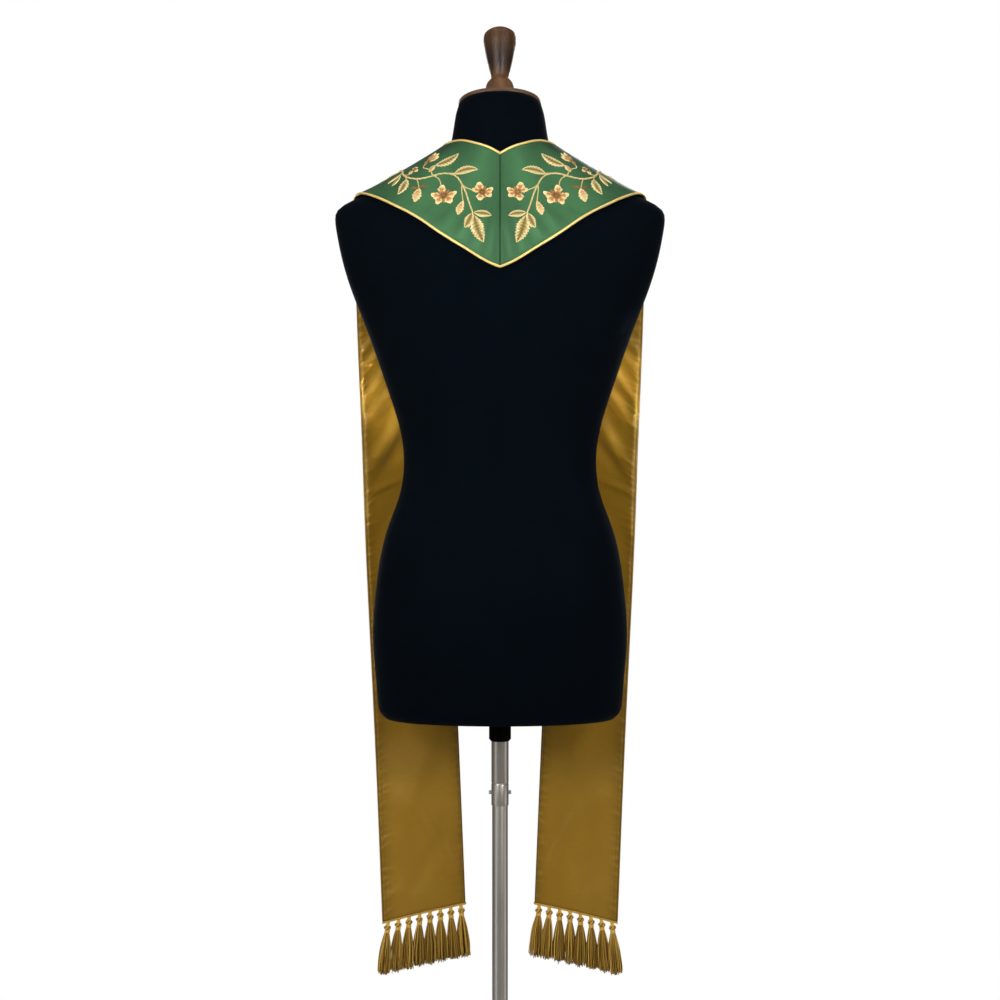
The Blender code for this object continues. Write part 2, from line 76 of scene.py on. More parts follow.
def faces_inward(points):
    """True for each tube whose quads point inwards: the sum of the corners' triple products about its
    middle, which is six times the volume inside, is below zero."""
    about = points - points.mean(axis=(1, 2), keepdims=True)
    here, along, around = about[:, :-1], about[:, 1:], np.roll(about, -1, axis=2)[:, :-1]
    return (here * np.cross(around, along)).sum(axis=(1, 2, 3)) < 0


def loft_parts(loft, closed, start):
    """The points of a loft's grids with their uv and tint, as rows of eight numbers; its faces, counted
    from start; and the uv of each face's corners. The uv of a tube goes on by one where its last column
    meets its first, so the quads there are given the uv from before the jump."""
    copies, rows, columns = grid = loft.points.shape[:3]
    uv = np.broadcast_to(0.0 if loft.uv is None else loft.uv, (*grid, 2))
    tint = np.broadcast_to(1.0 if loft.tint is None else loft.tint, (*grid, 3))
    whole = np.concatenate([loft.points, uv, tint], axis=-1)
    if closed:
        wrong = faces_inward(loft.points)[:, None, None, None]
        whole = np.where(wrong, whole[:, :, ::-1], whole)
    quads = quads_of(rows, columns, closed)
    offsets = start + rows * columns * np.arange(copies)[:, None, None]
    flat_uv = whole[..., 3:5].reshape(copies, -1, 2)
    faces = (quads + offsets).reshape(-1, 4).tolist()
    quad_uv = flat_uv[:, quads]
    if not closed:
        return whole.reshape(-1, 8), faces, [quad_uv.reshape(-1, 2)]
    jump = np.round(quad_uv[..., 1, 0] - quad_uv[..., 0, 0])
    quad_uv[..., 1:3, 0] -= jump[..., None]
    ends = np.stack([np.arange(columns)[::-1], np.arange(columns) + (rows - 1) * columns])
    faces += (ends + offsets).reshape(-1, columns).tolist()
    return whole.reshape(-1, 8), faces, [quad_uv.reshape(-1, 2), flat_uv[:, ends].reshape(-1, 2)]


def piece(name, lofts, finish, closed=True):
    """A smooth mesh of lofts, each of grids of shape (copies, rows, columns, 3). A closed grid is a tube,
    capped at both ends."""
    corners, faces, faces_uv, count = [], [], [], 0
    for loft in lofts:
        own_corners, own_faces, own_uv = loft_parts(loft, closed, count)
        corners.append(own_corners)
        faces += own_faces
        faces_uv += own_uv
        count += len(own_corners)
    corners = np.concatenate(corners)
    mesh = bpy.data.meshes.new(name)
    mesh.from_pydata(corners[:, :3].tolist(), [], faces)
    layer = mesh.uv_layers.new(name="UVMap")
    layer.data.foreach_set("uv", np.concatenate(faces_uv).astype(np.float32).ravel())
    colour = mesh.attributes.new("tint", "FLOAT_COLOR", "POINT")
    rgba = np.concatenate([corners[:, 5:], np.ones((count, 1))], axis=1)
    colour.data.foreach_set("color", rgba.astype(np.float32).ravel())
    mesh.shade_smooth()
    made = bpy.data.objects.new(name, mesh)
    bpy.context.scene.collection.objects.link(made)
    mesh.materials.append(finish)
    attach(made, "root")
    print(f"{name}: {len(faces)} faces")
    return made


def sharpened(made, degrees):
    """Edges that turn more than this stay crisp."""
    made.data.set_sharp_from_angle(angle=math.radians(degrees))
    return made


# %% [markdown]
# ## A short way to write shaders
# Blender's shaders are graphs of nodes. A small class wraps a socket and gives it +, -, * and so on, so
# that a pattern can be written as a sum, and one method adds any other node.

# %% Shader sums
class Value:
    """One output socket. Arithmetic on it adds Math nodes."""

    def __init__(self, finish, socket):
        self.finish, self.socket = finish, socket

    def math(self, operation, *inputs):
        return self.finish.node("ShaderNodeMath", {"operation": operation}, inputs)

    def __add__(self, other):
        return self.math("ADD", self, other)

    def __sub__(self, other):
        return self.math("SUBTRACT", self, other)

    def __rsub__(self, other):
        return self.math("SUBTRACT", other, self)

    def __mul__(self, other):
        return self.math("MULTIPLY", self, other)

    def sine(self):
        return self.math("SINE", self)

    def size(self):
        return self.math("ABSOLUTE", self)

    def power(self, exponent):
        return self.math("POWER", self, exponent)

    def clamp(self):
        return self.math("MINIMUM", self.math("MAXIMUM", self, 0.0), 1.0)

    __radd__ = __add__
    __rmul__ = __mul__


class Finish:
    """A material with one Principled shader."""

    def __init__(self, name):
        self.material = bpy.data.materials.new(name)
        self.material.use_nodes = True
        self.tree = self.material.node_tree
        self.shader = self.tree.nodes["Principled BSDF"]

    def plug(self, socket, value):
        if isinstance(value, Value):
            self.tree.links.new(value.socket, socket)
        else:
            socket.default_value = value

    def node(self, kind, settings=None, inputs=(), output=0):
        """Adds a node: its settings first, then its sockets, by place or by name."""
        made = self.tree.nodes.new(kind)
        for key, value in (settings or {}).items():
            setattr(made, key, value)
        for key, value in inputs.items() if isinstance(inputs, dict) else enumerate(inputs):
            self.plug(made.inputs[key], value)
        return Value(self, made.outputs[output])

    def place(self, output="UV"):
        """The three coordinates of a point, each as a value."""
        whole = self.node("ShaderNodeTexCoord", output=output)
        split = self.node("ShaderNodeSeparateXYZ", inputs=(whole,))
        return [Value(self, socket) for socket in split.socket.node.outputs]

    def noise(self, x, y, z=0.0, detail=2.0, roughness=0.5):
        """Cloudy noise from 0 to 1, one cloud for each unit of the place given."""
        where = self.node("ShaderNodeCombineXYZ", inputs=(x, y, z))
        return self.node("ShaderNodeTexNoise", {"noise_dimensions": "3D"},
                         {"Vector": where, "Scale": 1.0, "Detail": detail, "Roughness": roughness})

    def blend(self, factor, first, second):
        """Colour from first to second as factor goes from 0 to 1."""
        colours = [c if isinstance(c, Value) else (*c, 1.0) for c in (first, second)]
        return self.node("ShaderNodeMix", {"data_type": "RGBA"}, {0: factor, 6: colours[0], 7: colours[1]}, 2)

    def own_tint(self):
        return self.node("ShaderNodeAttribute", {"attribute_name": "tint"})

    def tinted(self, colour):
        """The colour times the mesh's own tint."""
        product = {"data_type": "RGBA", "blend_type": "MULTIPLY"}
        return self.node("ShaderNodeMix", product, {0: 1.0, 6: colour, 7: self.own_tint()}, 2)

    def bump(self, height, distance, strength=1.0):
        return self.node("ShaderNodeBump", {}, {"Height": height, "Distance": distance, "Strength": strength})

    def set(self, **sockets):
        """Sets the shader's sockets, with _ for a space, and gives the material."""
        for key, value in sockets.items():
            value = (*value, 1.0) if isinstance(value, tuple) and len(value) == 3 else value
            self.plug(self.shader.inputs[key.replace("_", " ")], value)
        return self.material

def darker(colour, share):
    return tuple(share * part for part in colour)


# %% [markdown]
# ## Curves through short tables
# The form and the stole are given by a few sections each. A natural cubic spline through a table's rows
# is the curve that a thin batten takes when it is bent through them, which is how a pattern cutter joins
# such points too.

# %% Splines and steps
def smooth_curve(knots, values, at):
    """The natural cubic spline through the rows: its bend is solved so that slope and bend run on."""
    knots, values, at = (np.asarray(x, float) for x in (knots, values, at))
    steps = np.diff(knots)
    slopes = np.diff(values, axis=0) / steps[:, None]
    count = len(knots)
    system = np.eye(count)
    change = np.zeros_like(values)
    for i in range(1, count - 1):
        system[i, i - 1 : i + 2] = steps[i - 1], 2 * (steps[i - 1] + steps[i]), steps[i]
        change[i] = 6 * (slopes[i] - slopes[i - 1])
    bend = np.linalg.solve(system, change)
    i = np.clip(np.searchsorted(knots, at, side="right") - 1, 0, count - 2)
    step = steps[i][..., None]
    after = (at - knots[i])[..., None] / step
    before = 1 - after
    straight = before * values[i] + after * values[i + 1]
    curved = (before**3 - before) * bend[i] + (after**3 - after) * bend[i + 1]
    return straight + curved * step**2 / 6


def columns_of(table):
    """The table's first column, and the others as one array."""
    whole = np.array(table)
    return whole[:, 0], whole[:, 1:]


def ease(value, start, full):
    """0 before start, 1 after full, and an even S between them."""
    t = np.clip((value - start) / (full - start), 0, 1)
    return t * t * (3 - 2 * t)


def unit(vectors):
    return vectors / np.linalg.norm(vectors, axis=-1, keepdims=True)


def through(points, count):
    """A smooth curve through a list of points, as count points at even shares of the chords' length."""
    points = np.asarray(points, float)
    knots = np.concatenate([[0], np.cumsum(np.linalg.norm(np.diff(points, axis=0), axis=1))])
    return smooth_curve(knots, points, np.linspace(0, knots[-1], count))


# %% [markdown]
# ## The dress form
# A display form is a padded papier-mâché or foam torso under a stretched black jersey. It has no seams
# that show, so it is one closed skin: a stack of level sections, each a superellipse between an ellipse
# and a box, with a soft swelling added for the bust. The rounded lower edge turns in to the bore that
# holds the pole.

# %% The form's sections
Section = namedtuple("Section", "height half_width back front middle")
FORM_SECTIONS = [  # heights are above the form's lower edge; back and front are reaches from the pole's axis
    Section(0.000, 0.1480, 0.103, 0.096, 0.000),
    Section(0.005, 0.1535, 0.108, 0.101, 0.000),
    Section(0.017, 0.1580, 0.113, 0.105, 0.000),
    Section(0.050, 0.1610, 0.118, 0.110, 0.000),
    Section(0.107, 0.1650, 0.121, 0.114, 0.000),
    Section(0.157, 0.1620, 0.115, 0.114, 0.000),
    Section(0.207, 0.1555, 0.103, 0.110, 0.000),
    Section(0.247, 0.1455, 0.091, 0.104, 0.000),
    Section(0.287, 0.1310, 0.082, 0.098, 0.000),
    Section(0.327, 0.1250, 0.080, 0.095, 0.000),
    Section(0.367, 0.1285, 0.084, 0.098, 0.000),
    Section(0.417, 0.1430, 0.093, 0.105, 0.000),
    Section(0.467, 0.1600, 0.102, 0.117, 0.000),
    Section(0.512, 0.1765, 0.108, 0.127, 0.000),
    Section(0.557, 0.1940, 0.111, 0.122, 0.000),
    Section(0.600, 0.2065, 0.109, 0.111, 0.001),
    Section(0.628, 0.2120, 0.104, 0.100, 0.002),
    Section(0.646, 0.2140, 0.095, 0.092, 0.003),
    Section(0.659, 0.2085, 0.089, 0.086, 0.003),
    Section(0.669, 0.1915, 0.083, 0.081, 0.003),
    Section(0.680, 0.1675, 0.079, 0.075, 0.002),
    Section(0.693, 0.1430, 0.075, 0.070, 0.001),
    Section(0.706, 0.1195, 0.070, 0.066, -0.001),
    Section(0.719, 0.0965, 0.064, 0.064, -0.003),
    Section(0.731, 0.0760, 0.057, 0.063, -0.005),
    Section(0.741, 0.0665, 0.052, 0.063, -0.007),
    Section(0.754, 0.0625, 0.047, 0.065, -0.009),
    Section(0.769, 0.0602, 0.041, 0.068, -0.013),
    Section(0.7843, 0.0578, 0.036, 0.071, -0.017),
    Section(0.7954, 0.0546, 0.031, 0.071, -0.020),
]
FORM_SQUARENESS = 2.2  # 2 is an ellipse, more is fuller at the corners
BUST_RISE, BUST_HEIGHT, BUST_SPREAD = 0.014, 0.510, 0.055
BUST_TURN, BUST_WIDTH = math.radians(38), math.radians(24)  # from straight ahead
ROUNDING_TOP, NECK_BASE, FORM_TOP = (FORM_SECTIONS[i].height for i in (2, -5, -1))
NECK_TILT = math.radians(13)  # how far the neck's top leans forward


def form_section(height):
    """Half width, back, front and middle at this height; beyond the table its ends go on."""
    height = np.clip(height, 0, FORM_TOP)
    return np.moveaxis(smooth_curve(*columns_of(FORM_SECTIONS), height), -1, 0)


def form_radius(angle, height):
    """From the section's middle to the skin, a superellipse and the bust's two soft bells. Angle 0 is +X."""
    half_width, back, front, middle = form_section(height)
    side, depth_way = np.cos(angle), np.sin(angle)
    depth = np.where(depth_way > 0, back - middle, front + middle)
    power = FORM_SQUARENESS
    radius = ((np.abs(side) / half_width) ** power + (np.abs(depth_way) / depth) ** power) ** (-1 / power)
    aside = (np.abs(np.arctan2(side, -depth_way)) - BUST_TURN) / BUST_WIDTH
    above = (height - BUST_HEIGHT) / BUST_SPREAD
    return radius + BUST_RISE * np.exp(-(aside**2) - above**2)


def form_rings(height, angle):
    """Level sections at these heights; the top of the neck leans forward."""
    height = np.asarray(height)[:, None]
    radius = form_radius(angle, height)
    middle = form_section(height)[3]
    along = middle + radius * np.sin(angle)
    lean = math.tan(NECK_TILT) * ease(height, NECK_BASE, FORM_TOP)
    rise = height + lean * (along - middle)
    return np.stack([radius * np.cos(angle), along, rise + FORM_LOW], axis=-1)


# %% Black jersey
WALE_WIDTH, COURSE_HEIGHT = 1.5 * MM, 1.8 * MM  # one loop of the knit


def black_jersey():
    """A very dark blue-black knit: fine wales and courses as bump, and its nap's faint bloom as sheen."""
    cloth = Finish("black jersey")
    across, up, _ = cloth.place()
    wale = (across * (TURN / WALE_WIDTH)).sine()
    course = (up * (TURN / COURSE_HEIGHT) + wale * 1.3).sine()
    cloud = cloth.noise(across * 14.0, up * 14.0, detail=3.0)
    base = cloth.blend(cloud, (0.0002, 0.0011, 0.0024), (0.0006, 0.0021, 0.0040))
    knit = cloth.bump(wale * 0.5 + course * 0.5, 0.10 * MM, 0.5)
    return cloth.set(Base_Color=base, Roughness=0.90, Normal=knit, Specular_IOR_Level=0.03,
                     Sheen_Weight=0.012, Sheen_Roughness=0.40, Sheen_Tint=(0.75, 0.80, 0.90))


# %% The form's skin
BORE_RADIUS, BORE_TOP = 11.6 * MM, 100 * MM
JERSEY_COLUMNS, JERSEY_ROWS, ROUNDING_ROWS = 128, 130, 10
UNDER_SHARES = (0.9, 0.6, 0.3, 0.1)  # rings of the underside, from the edge of the bore outwards
angle = np.linspace(0, TURN, JERSEY_COLUMNS, endpoint=False)
skin_heights = np.concatenate([np.linspace(0, ROUNDING_TOP, ROUNDING_ROWS)[:-1],
                               np.linspace(ROUNDING_TOP, FORM_TOP, JERSEY_ROWS)])
skin = form_rings(skin_heights, angle)
bore = BORE_RADIUS * np.stack([np.cos(angle), np.sin(angle), 0 * angle], axis=-1) + (0, 0, FORM_LOW)
under = [skin[0] + (bore - skin[0]) * share for share in UNDER_SHARES]
whole_skin = np.concatenate([[bore + (0, 0, BORE_TOP), bore], under, skin])
turns = np.broadcast_to(angle / TURN, whole_skin.shape[:2])  # one turn is near a metre, so uv is in metres
skin_uv = np.stack([turns, whole_skin[..., 2]], axis=-1)
form = piece("form_jersey", [Loft(whole_skin[None], skin_uv[None])], black_jersey())
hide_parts("form_body")

# %% [markdown]
# ## Turned wood: the neck cap and its knob
# The neck is closed with an oval walnut lid, and a knob is doweled on it to lift the form by. Both are
# turned or moulded, so each is a profile of (size, height) carried round the axis, with a smooth spline
# through the few points that a turner would mark. The top of the neck leans, so a frame leans with it.

# %% Lathe work
ROUND = 96


def lathe(profile, rows, radius=1.0, round_steps=ROUND):
    """A profile of (size, height) turned about Z: size times radius is the distance from the axis, and
    radius may change with the angle, as on an oval."""
    profile = through(profile, rows) if rows else np.array(profile, float)
    angle = np.linspace(0, TURN, round_steps, endpoint=False)
    radius = np.broadcast_to(radius, angle.shape)
    size, height = profile[:, 0, None], profile[:, 1, None]
    reach = size * radius
    points = np.stack([reach * np.cos(angle), reach * np.sin(angle), height + 0 * angle], axis=-1)
    along = np.concatenate([[0], np.cumsum(np.linalg.norm(np.diff(profile, axis=0), axis=1))])
    uv = np.stack(np.broadcast_arrays(angle / TURN, along[:, None]), axis=-1)
    return points, uv


def set_in(points, middle, tilt):
    """Points turned about X by tilt and then moved to middle."""
    c, s = math.cos(tilt), math.sin(tilt)
    turn = np.array([[1, 0, 0], [0, c, -s], [0, s, c]])
    return points @ turn.T + middle


# %% Walnut
def walnut(name, dark, light, grain_turn):
    """Reddish walnut under satin varnish: long grain bent by slow noise, and short dark pores along it."""
    wood = Finish(name)
    x, y, z = wood.place("Object")
    if grain_turn:
        x, z = z, x
    wave = wood.noise(x * 30.0, y * 30.0, z * 9.0, detail=2.0)
    ring = (x * 420.0 + y * 260.0 + wave * 9.0).sine() * 0.5 + 0.5
    fleck = wood.noise(x * 900.0, y * 900.0, z * 40.0, detail=4.0, roughness=0.7)
    pore = ((fleck - 0.52) * 9.0).clamp()
    tone = wood.blend((ring * 0.55 + wave * 0.6).clamp(), dark, light)
    # the tint is painted light and shade on the knob, and plain on the lid
    colour = wood.tinted(wood.blend(pore * 0.75, tone, darker(dark, 0.35)))
    return wood.set(Base_Color=colour, Roughness=wave * 0.10 + 0.34, Normal=wood.bump(pore * -1.0, 0.05 * MM),
                    Specular_IOR_Level=0.26)


# %% The lid of the neck and the knob
CAP_PROFILE = [  # size against the neck's own outline, height
    (0.980, 0.0003), (0.995, 0.0006), (1.006, 0.0018), (1.009, 0.0034), (1.004, 0.0050),
    (0.985, 0.0061), (0.950, 0.0066), (0.800, 0.0079), (0.560, 0.0089), (0.300, 0.0094)]
FINIAL_SEAT = 9.8 * MM
FINIAL_PROFILE = [  # radius, height above the seat
    (0.0188, 0.0000), (0.0190, 0.0060), (0.0190, 0.0150), (0.0186, 0.0207), (0.0177, 0.0234),
    (0.0164, 0.0261), (0.0142, 0.0288), (0.0121, 0.0315), (0.0117, 0.0327), (0.0117, 0.0342),
    (0.0121, 0.0369), (0.0138, 0.0436), (0.0152, 0.0495), (0.0166, 0.0550), (0.0177, 0.0604),
    (0.0187, 0.0658), (0.0196, 0.0712), (0.0205, 0.0766), (0.0215, 0.0820), (0.0218, 0.0874),
    (0.0213, 0.0928), (0.0203, 0.0955), (0.0176, 0.0982), (0.0136, 0.1009), (0.0100, 0.1025),
    (0.0055, 0.1037), (0.0015, 0.1043)]
FINIAL_PAINTED_LIGHT = [  # height above the lid's underside, and the painted light: lightest where it faces up, darkest in the shade above the waist
    (0.000, 1.90), (0.028, 1.90), (0.042, 1.60), (0.053, 0.75), (0.085, 0.90), (0.125, 1.50)]
CAP_ROWS, FINIAL_ROWS = 40, 110
neck_middle = np.array([0, FORM_SECTIONS[-1].middle, FORM_LOW + FORM_TOP])
neck_outline = form_radius(np.linspace(0, TURN, ROUND, endpoint=False), np.array(FORM_TOP))
cap_points, cap_uv = lathe(CAP_PROFILE, CAP_ROWS, neck_outline)
cap_points = set_in(cap_points, neck_middle, NECK_TILT)
neck_cap = piece("walnut_neck_cap", [Loft(cap_points[None], cap_uv[None])],
                 walnut("walnut lid", (0.052, 0.025, 0.011), (0.125, 0.060, 0.027), grain_turn=True))
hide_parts("neck_cap")
knob_points, knob_uv = lathe(np.array(FINIAL_PROFILE) + (0, FINIAL_SEAT), FINIAL_ROWS)
# painted light and shade along the knob's height
knob_painted_light = smooth_curve(*columns_of(FINIAL_PAINTED_LIGHT), knob_points[..., 2])
knob_points = set_in(knob_points, neck_middle, NECK_TILT)
knob = piece("walnut_knob", [Loft(knob_points[None], knob_uv[None], np.repeat(knob_painted_light, 3, axis=-1)[None])],
             walnut("walnut knob", (0.032, 0.015, 0.0066), (0.080, 0.034, 0.0115), grain_turn=False))
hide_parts("neck_finial")

# %% [markdown]
# ## The pole and the base
# Two steel tubes slide into each other and are locked by a pair of sprung buttons, so that the stand
# packs flat. A groove rolled into the outer tube stops the inner one. Each is turned from its profile.
# The edges are rounded by a few rows of points, because a corner with no radius catches no light.

# %% Steel and plastic
def brushed_steel(name, lines_round):
    """Satin steel: fine drawn lines as bump and as a little change in roughness, and a few dull marks."""
    steel = Finish(name)
    turn, along, _ = steel.place()
    if lines_round:
        turn, along = along * 12.0, turn * 0.08
    line = steel.noise(turn * 260.0, along * 9.0, detail=4.0, roughness=0.7)
    mark = steel.noise(turn * 5.0, along * 14.0, 3.0, detail=4.0)
    tone = steel.blend((line * 0.6 + mark * 0.5).clamp(), (0.310, 0.285, 0.248), (0.500, 0.468, 0.420))
    rough = (mark * 0.10 + line * 0.08 + 0.26).clamp()
    return steel.set(Base_Color=tone, Metallic=1.0, Roughness=rough, Normal=steel.bump(line, 0.02 * MM, 0.4))


def black_plastic():
    """Moulded plastic with a fine spark-eroded grain."""
    plastic = Finish("black plastic")
    x, y, z = plastic.place("Object")
    grain = plastic.noise(x * 1600.0, y * 1600.0, z * 1600.0, detail=2.0)
    colour = plastic.blend(grain, (0.0006, 0.0007, 0.0006), (0.0016, 0.0017, 0.0016))
    return plastic.set(Base_Color=colour, Roughness=grain * 0.2 + 0.55, Normal=plastic.bump(grain, 0.03 * MM),
                       Specular_IOR_Level=0.03)


def rounded(corners, radius, steps=5):
    """A profile with each inner corner cut by an arc: points of a quadratic curve that starts and ends
    radius away from the corner."""
    corners = np.array(corners, float)
    t = np.linspace(0, 1, steps)[:, None]
    parts = [corners[:1]]
    for before, corner, after in zip(corners, corners[1:], corners[2:]):
        start = corner + unit(before - corner) * radius
        end = corner + unit(after - corner) * radius
        parts.append(start * (1 - t) ** 2 + corner * 2 * t * (1 - t) + end * t**2)
    return np.concatenate(parts + [corners[-1:]])


# %% Sizes read from the frame
def radius_of(node):
    low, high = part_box(node)
    return (high.y - low.y) / 2


def turned_piece(name, node, finish, profile):
    """A turned piece that stands for a node, from its profile of (radius, height) listed bottom up."""
    points, uv = lathe(profile, 0)
    made = sharpened(piece(name, [Loft(points[None], uv[None])], finish), 50)
    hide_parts(node)
    return made


plate_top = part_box("base_plate")[1].z
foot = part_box("base_boss")[0].z
boss_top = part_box("base_boss")[1].z
lower_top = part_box("lower_tube")[1].z
upper_low, upper_high = (corner.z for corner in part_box("upper_tube"))
socket_low, socket_high = (corner.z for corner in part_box("form_socket"))
plate_r, boss_r, lower_r, upper_r, socket_r = (
    radius_of(node) for node in ("base_plate", "base_boss", "lower_tube", "upper_tube", "form_socket"))
print("tubes", round(2000 * lower_r, 1), "and", round(2000 * upper_r, 1), "mm across")

# %% The base, the tubes and the socket
STOP_HEIGHT, GROOVE_DEPTH, GROOVE_HALF, WALL = 612 * MM, 0.5 * MM, 1.2 * MM, 0.9 * MM
HOLLOW_END = 30 * MM  # how far the open end of the upper tube can be looked into
EDGE, LITTLE = 1.2 * MM, 0.4 * MM  # how far the corners of thick and of thin pieces are rounded
CLOSE = 0.1 * MM  # radius of the small flat at the axis
BOSS_BORE, SOCKET_BORE = lower_r + 0.3 * MM, upper_r + 0.2 * MM

steel_round, steel_long = brushed_steel("spun steel", True), brushed_steel("drawn steel", False)
turned_piece("steel_base", "base_plate", steel_round, rounded(
    [(CLOSE, 0), (plate_r, 0), (plate_r, plate_top), (boss_r + 4 * EDGE, plate_top), (CLOSE, plate_top)],
    2 * EDGE))
turned_piece("steel_boss", "base_boss", steel_round, rounded(
    [(BOSS_BORE, foot), (boss_r, foot), (boss_r, boss_top), (BOSS_BORE, boss_top),
     (BOSS_BORE, boss_top - EDGE)], EDGE * 0.9))
turned_piece("lower_steel_tube", "lower_tube", steel_long, rounded(
    [(CLOSE, foot), (lower_r, foot), (lower_r, lower_top), (CLOSE, lower_top)], LITTLE))
inside = upper_r - WALL
bell = math.pi * np.linspace(-1, 1, 9)[:, None]
groove_radius = upper_r - GROOVE_DEPTH * (0.5 + 0.5 * np.cos(bell))
groove = np.hstack([groove_radius, STOP_HEIGHT + GROOVE_HALF * bell / math.pi])
outer = rounded(
    [(inside, upper_low + 2 * LITTLE), (inside, upper_low), (upper_r, upper_low), groove[0]], LITTLE)
turned_piece("upper_steel_tube", "upper_tube", steel_long, np.concatenate(
    [[(CLOSE, upper_low + HOLLOW_END), (inside, upper_low + HOLLOW_END)], outer, groove[1:],
     rounded([(upper_r, upper_high - EDGE), (upper_r, upper_high), (CLOSE, upper_high)], LITTLE)]))
turned_piece("plastic_socket", "form_socket", black_plastic(), rounded(
    [(SOCKET_BORE, socket_low + EDGE), (SOCKET_BORE, socket_low), (socket_r - 2 * EDGE, socket_low),
     (socket_r, socket_low + 2.5 * EDGE), (socket_r, socket_high), (SOCKET_BORE, socket_high),
     (SOCKET_BORE, socket_high - EDGE)], LITTLE))

# %% The spring buttons
HALVES = ((1, "left"), (-1, "right"))  # the sign of X, and the name, of each side
BUTTON_ROUND = 28
button_middle = sum((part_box("spring_button_left")[i].z for i in (0, 1))) / 2
button_end, button_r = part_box("spring_button_left")[1].x, radius_of("spring_button_left")
BUTTON_PROFILE = rounded([(0.98 * button_r, lower_r * 0.7), (button_r, button_end - 1.6 * MM),
                          (0.80 * button_r, button_end - 0.3 * MM), (0.1 * button_r, button_end)], LITTLE)
for side, name in HALVES:
    points, uv = lathe(BUTTON_PROFILE, 0, round_steps=BUTTON_ROUND)
    points = points[..., [2, 1, 0]] * (side, 1, 1) + (0, 0, button_middle)
    button = piece(f"steel_button_{name}", [Loft(points[None], uv[None])], steel_round)
    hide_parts(f"spring_button_{name}")

# %% [markdown]
# ## The cut of the stole
# Each half of the stole is one long band whose edges are given at a few stations, from the seam in the
# back (run 0) over the shoulder to the hem. Share goes from 0 at the neck edge to 1 at the outer edge.
# Straight lines join the two edges, and the cloth is then pushed straight off the form wherever it would
# lie closer than its lining allows. A surface ruled like this unrolls flat, which gives back the cut.

# %% The band's edges
Station = namedtuple("Station", "run neck_x neck_y neck_z outer_x outer_y outer_z")
BAND_STATIONS = [  # heights are above the form's lower edge
    Station(0.000, 0.0000, 0.069, 0.7163, 0.0000, 0.111, 0.5725),
    Station(0.012, 0.0035, 0.069, 0.7185, 0.0110, 0.111, 0.5770),
    Station(0.045, 0.0150, 0.067, 0.7253, 0.0400, 0.107, 0.5945),
    Station(0.090, 0.0320, 0.060, 0.7320, 0.0800, 0.098, 0.6200),
    Station(0.135, 0.0508, 0.048, 0.7375, 0.1220, 0.082, 0.6478),
    Station(0.175, 0.0680, 0.027, 0.7375, 0.1560, 0.056, 0.6630),
    Station(0.215, 0.0775, -0.004, 0.7345, 0.1795, 0.016, 0.6700),
    Station(0.260, 0.0800, -0.034, 0.7200, 0.1870, -0.032, 0.6560),
    Station(0.310, 0.0810, -0.062, 0.6830, 0.1915, -0.060, 0.6150),
    Station(0.370, 0.0815, -0.090, 0.6290, 0.1920, -0.083, 0.5620),
    Station(0.450, 0.0815, -0.123, 0.5550, 0.1904, -0.100, 0.4870),
    Station(0.560, 0.0793, -0.142, 0.4500, 0.1865, -0.110, 0.3850),
    Station(0.720, 0.0743, -0.148, 0.2870, 0.1812, -0.114, 0.2350),
    Station(0.960, 0.0623, -0.149, 0.0320, 0.1697, -0.116, -0.0110),
    Station(1.240, 0.0493, -0.150, -0.2748, 0.1582, -0.118, -0.2935),
]
BAND_LENGTH = BAND_STATIONS[-1].run
BAND_CAMBER, CAMBER_STARTS, CAMBER_FULL = 0.0050, 0.38, 0.62

Fold = namedtuple("Fold", "run share slant long wide rise")  # slant is metres of run per unit of share
BAND_FOLDS = [  # the broad waves of both layers; rise is away from the form
    Fold(0.640, 0.45, 0.10, 0.060, 0.45, 0.0040),
    Fold(0.760, 0.60, -0.08, 0.070, 0.50, -0.0045),
    Fold(0.900, 0.40, 0.12, 0.085, 0.45, 0.0040),
    Fold(1.060, 0.60, -0.10, 0.080, 0.40, -0.0035),
]
CLOTH_CLEARANCE, CLEARANCE_SOFTNESS = 2.2 * MM, 2.0 * MM
SHARE_STEP = 0.01  # a short step across the band, to find slopes with


def folds(table, run, share):
    """A sum of soft ridges: each a bell curve across its slanted line and another along it."""
    rise = np.zeros(np.broadcast(run, share).shape)
    for fold in table:
        across = (share - fold.share) / fold.wide
        down = (run - fold.run - fold.slant * (share - fold.share)) / fold.long
        rise = rise + fold.rise * np.exp(-(across**2) - down**2)
    return rise


def clearance(points):
    """The distance off the form's skin and the way straight off it: the level distance over the length
    of its own slope."""

    def level(at):
        middle = form_section(at[..., 2])[3]
        across, along = at[..., 0], at[..., 1] - middle
        return np.hypot(across, along) - form_radius(np.arctan2(along, across), at[..., 2])

    step = 0.5 * MM
    here = level(points)
    slope = np.stack([(level(points + step * axis) - here) / step for axis in np.eye(3)], axis=-1)
    steepness = np.linalg.norm(slope, axis=-1, keepdims=True)
    return here / steepness[..., 0], slope / steepness


def kept_clear(points, least):
    """Points moved straight off the form until they are clear of it, easing off where they leave it."""
    distance, out = clearance(points)
    excess = (distance - least) / CLEARANCE_SOFTNESS
    wanted = least + CLEARANCE_SOFTNESS * np.logaddexp(0, excess)
    points = points + out * (wanted - distance)[..., None]
    for _ in range(3):
        distance, out = clearance(points)
        points = points + out * np.maximum(least - distance, 0)[..., None]
    return points


def band_base(run, share):
    """The band's inner surface: straight from edge to edge, cambered where it hangs, kept off the form."""
    edges = smooth_curve(*columns_of(BAND_STATIONS), run)
    points = edges[..., :3] * (1 - share[..., None]) + edges[..., 3:] * share[..., None]
    camber = BAND_CAMBER * ease(run, CAMBER_STARTS, CAMBER_FULL) * 4 * share * (1 - share)
    points[..., 1] -= camber + folds(BAND_FOLDS, run, share)
    return kept_clear(points, CLOTH_CLEARANCE)


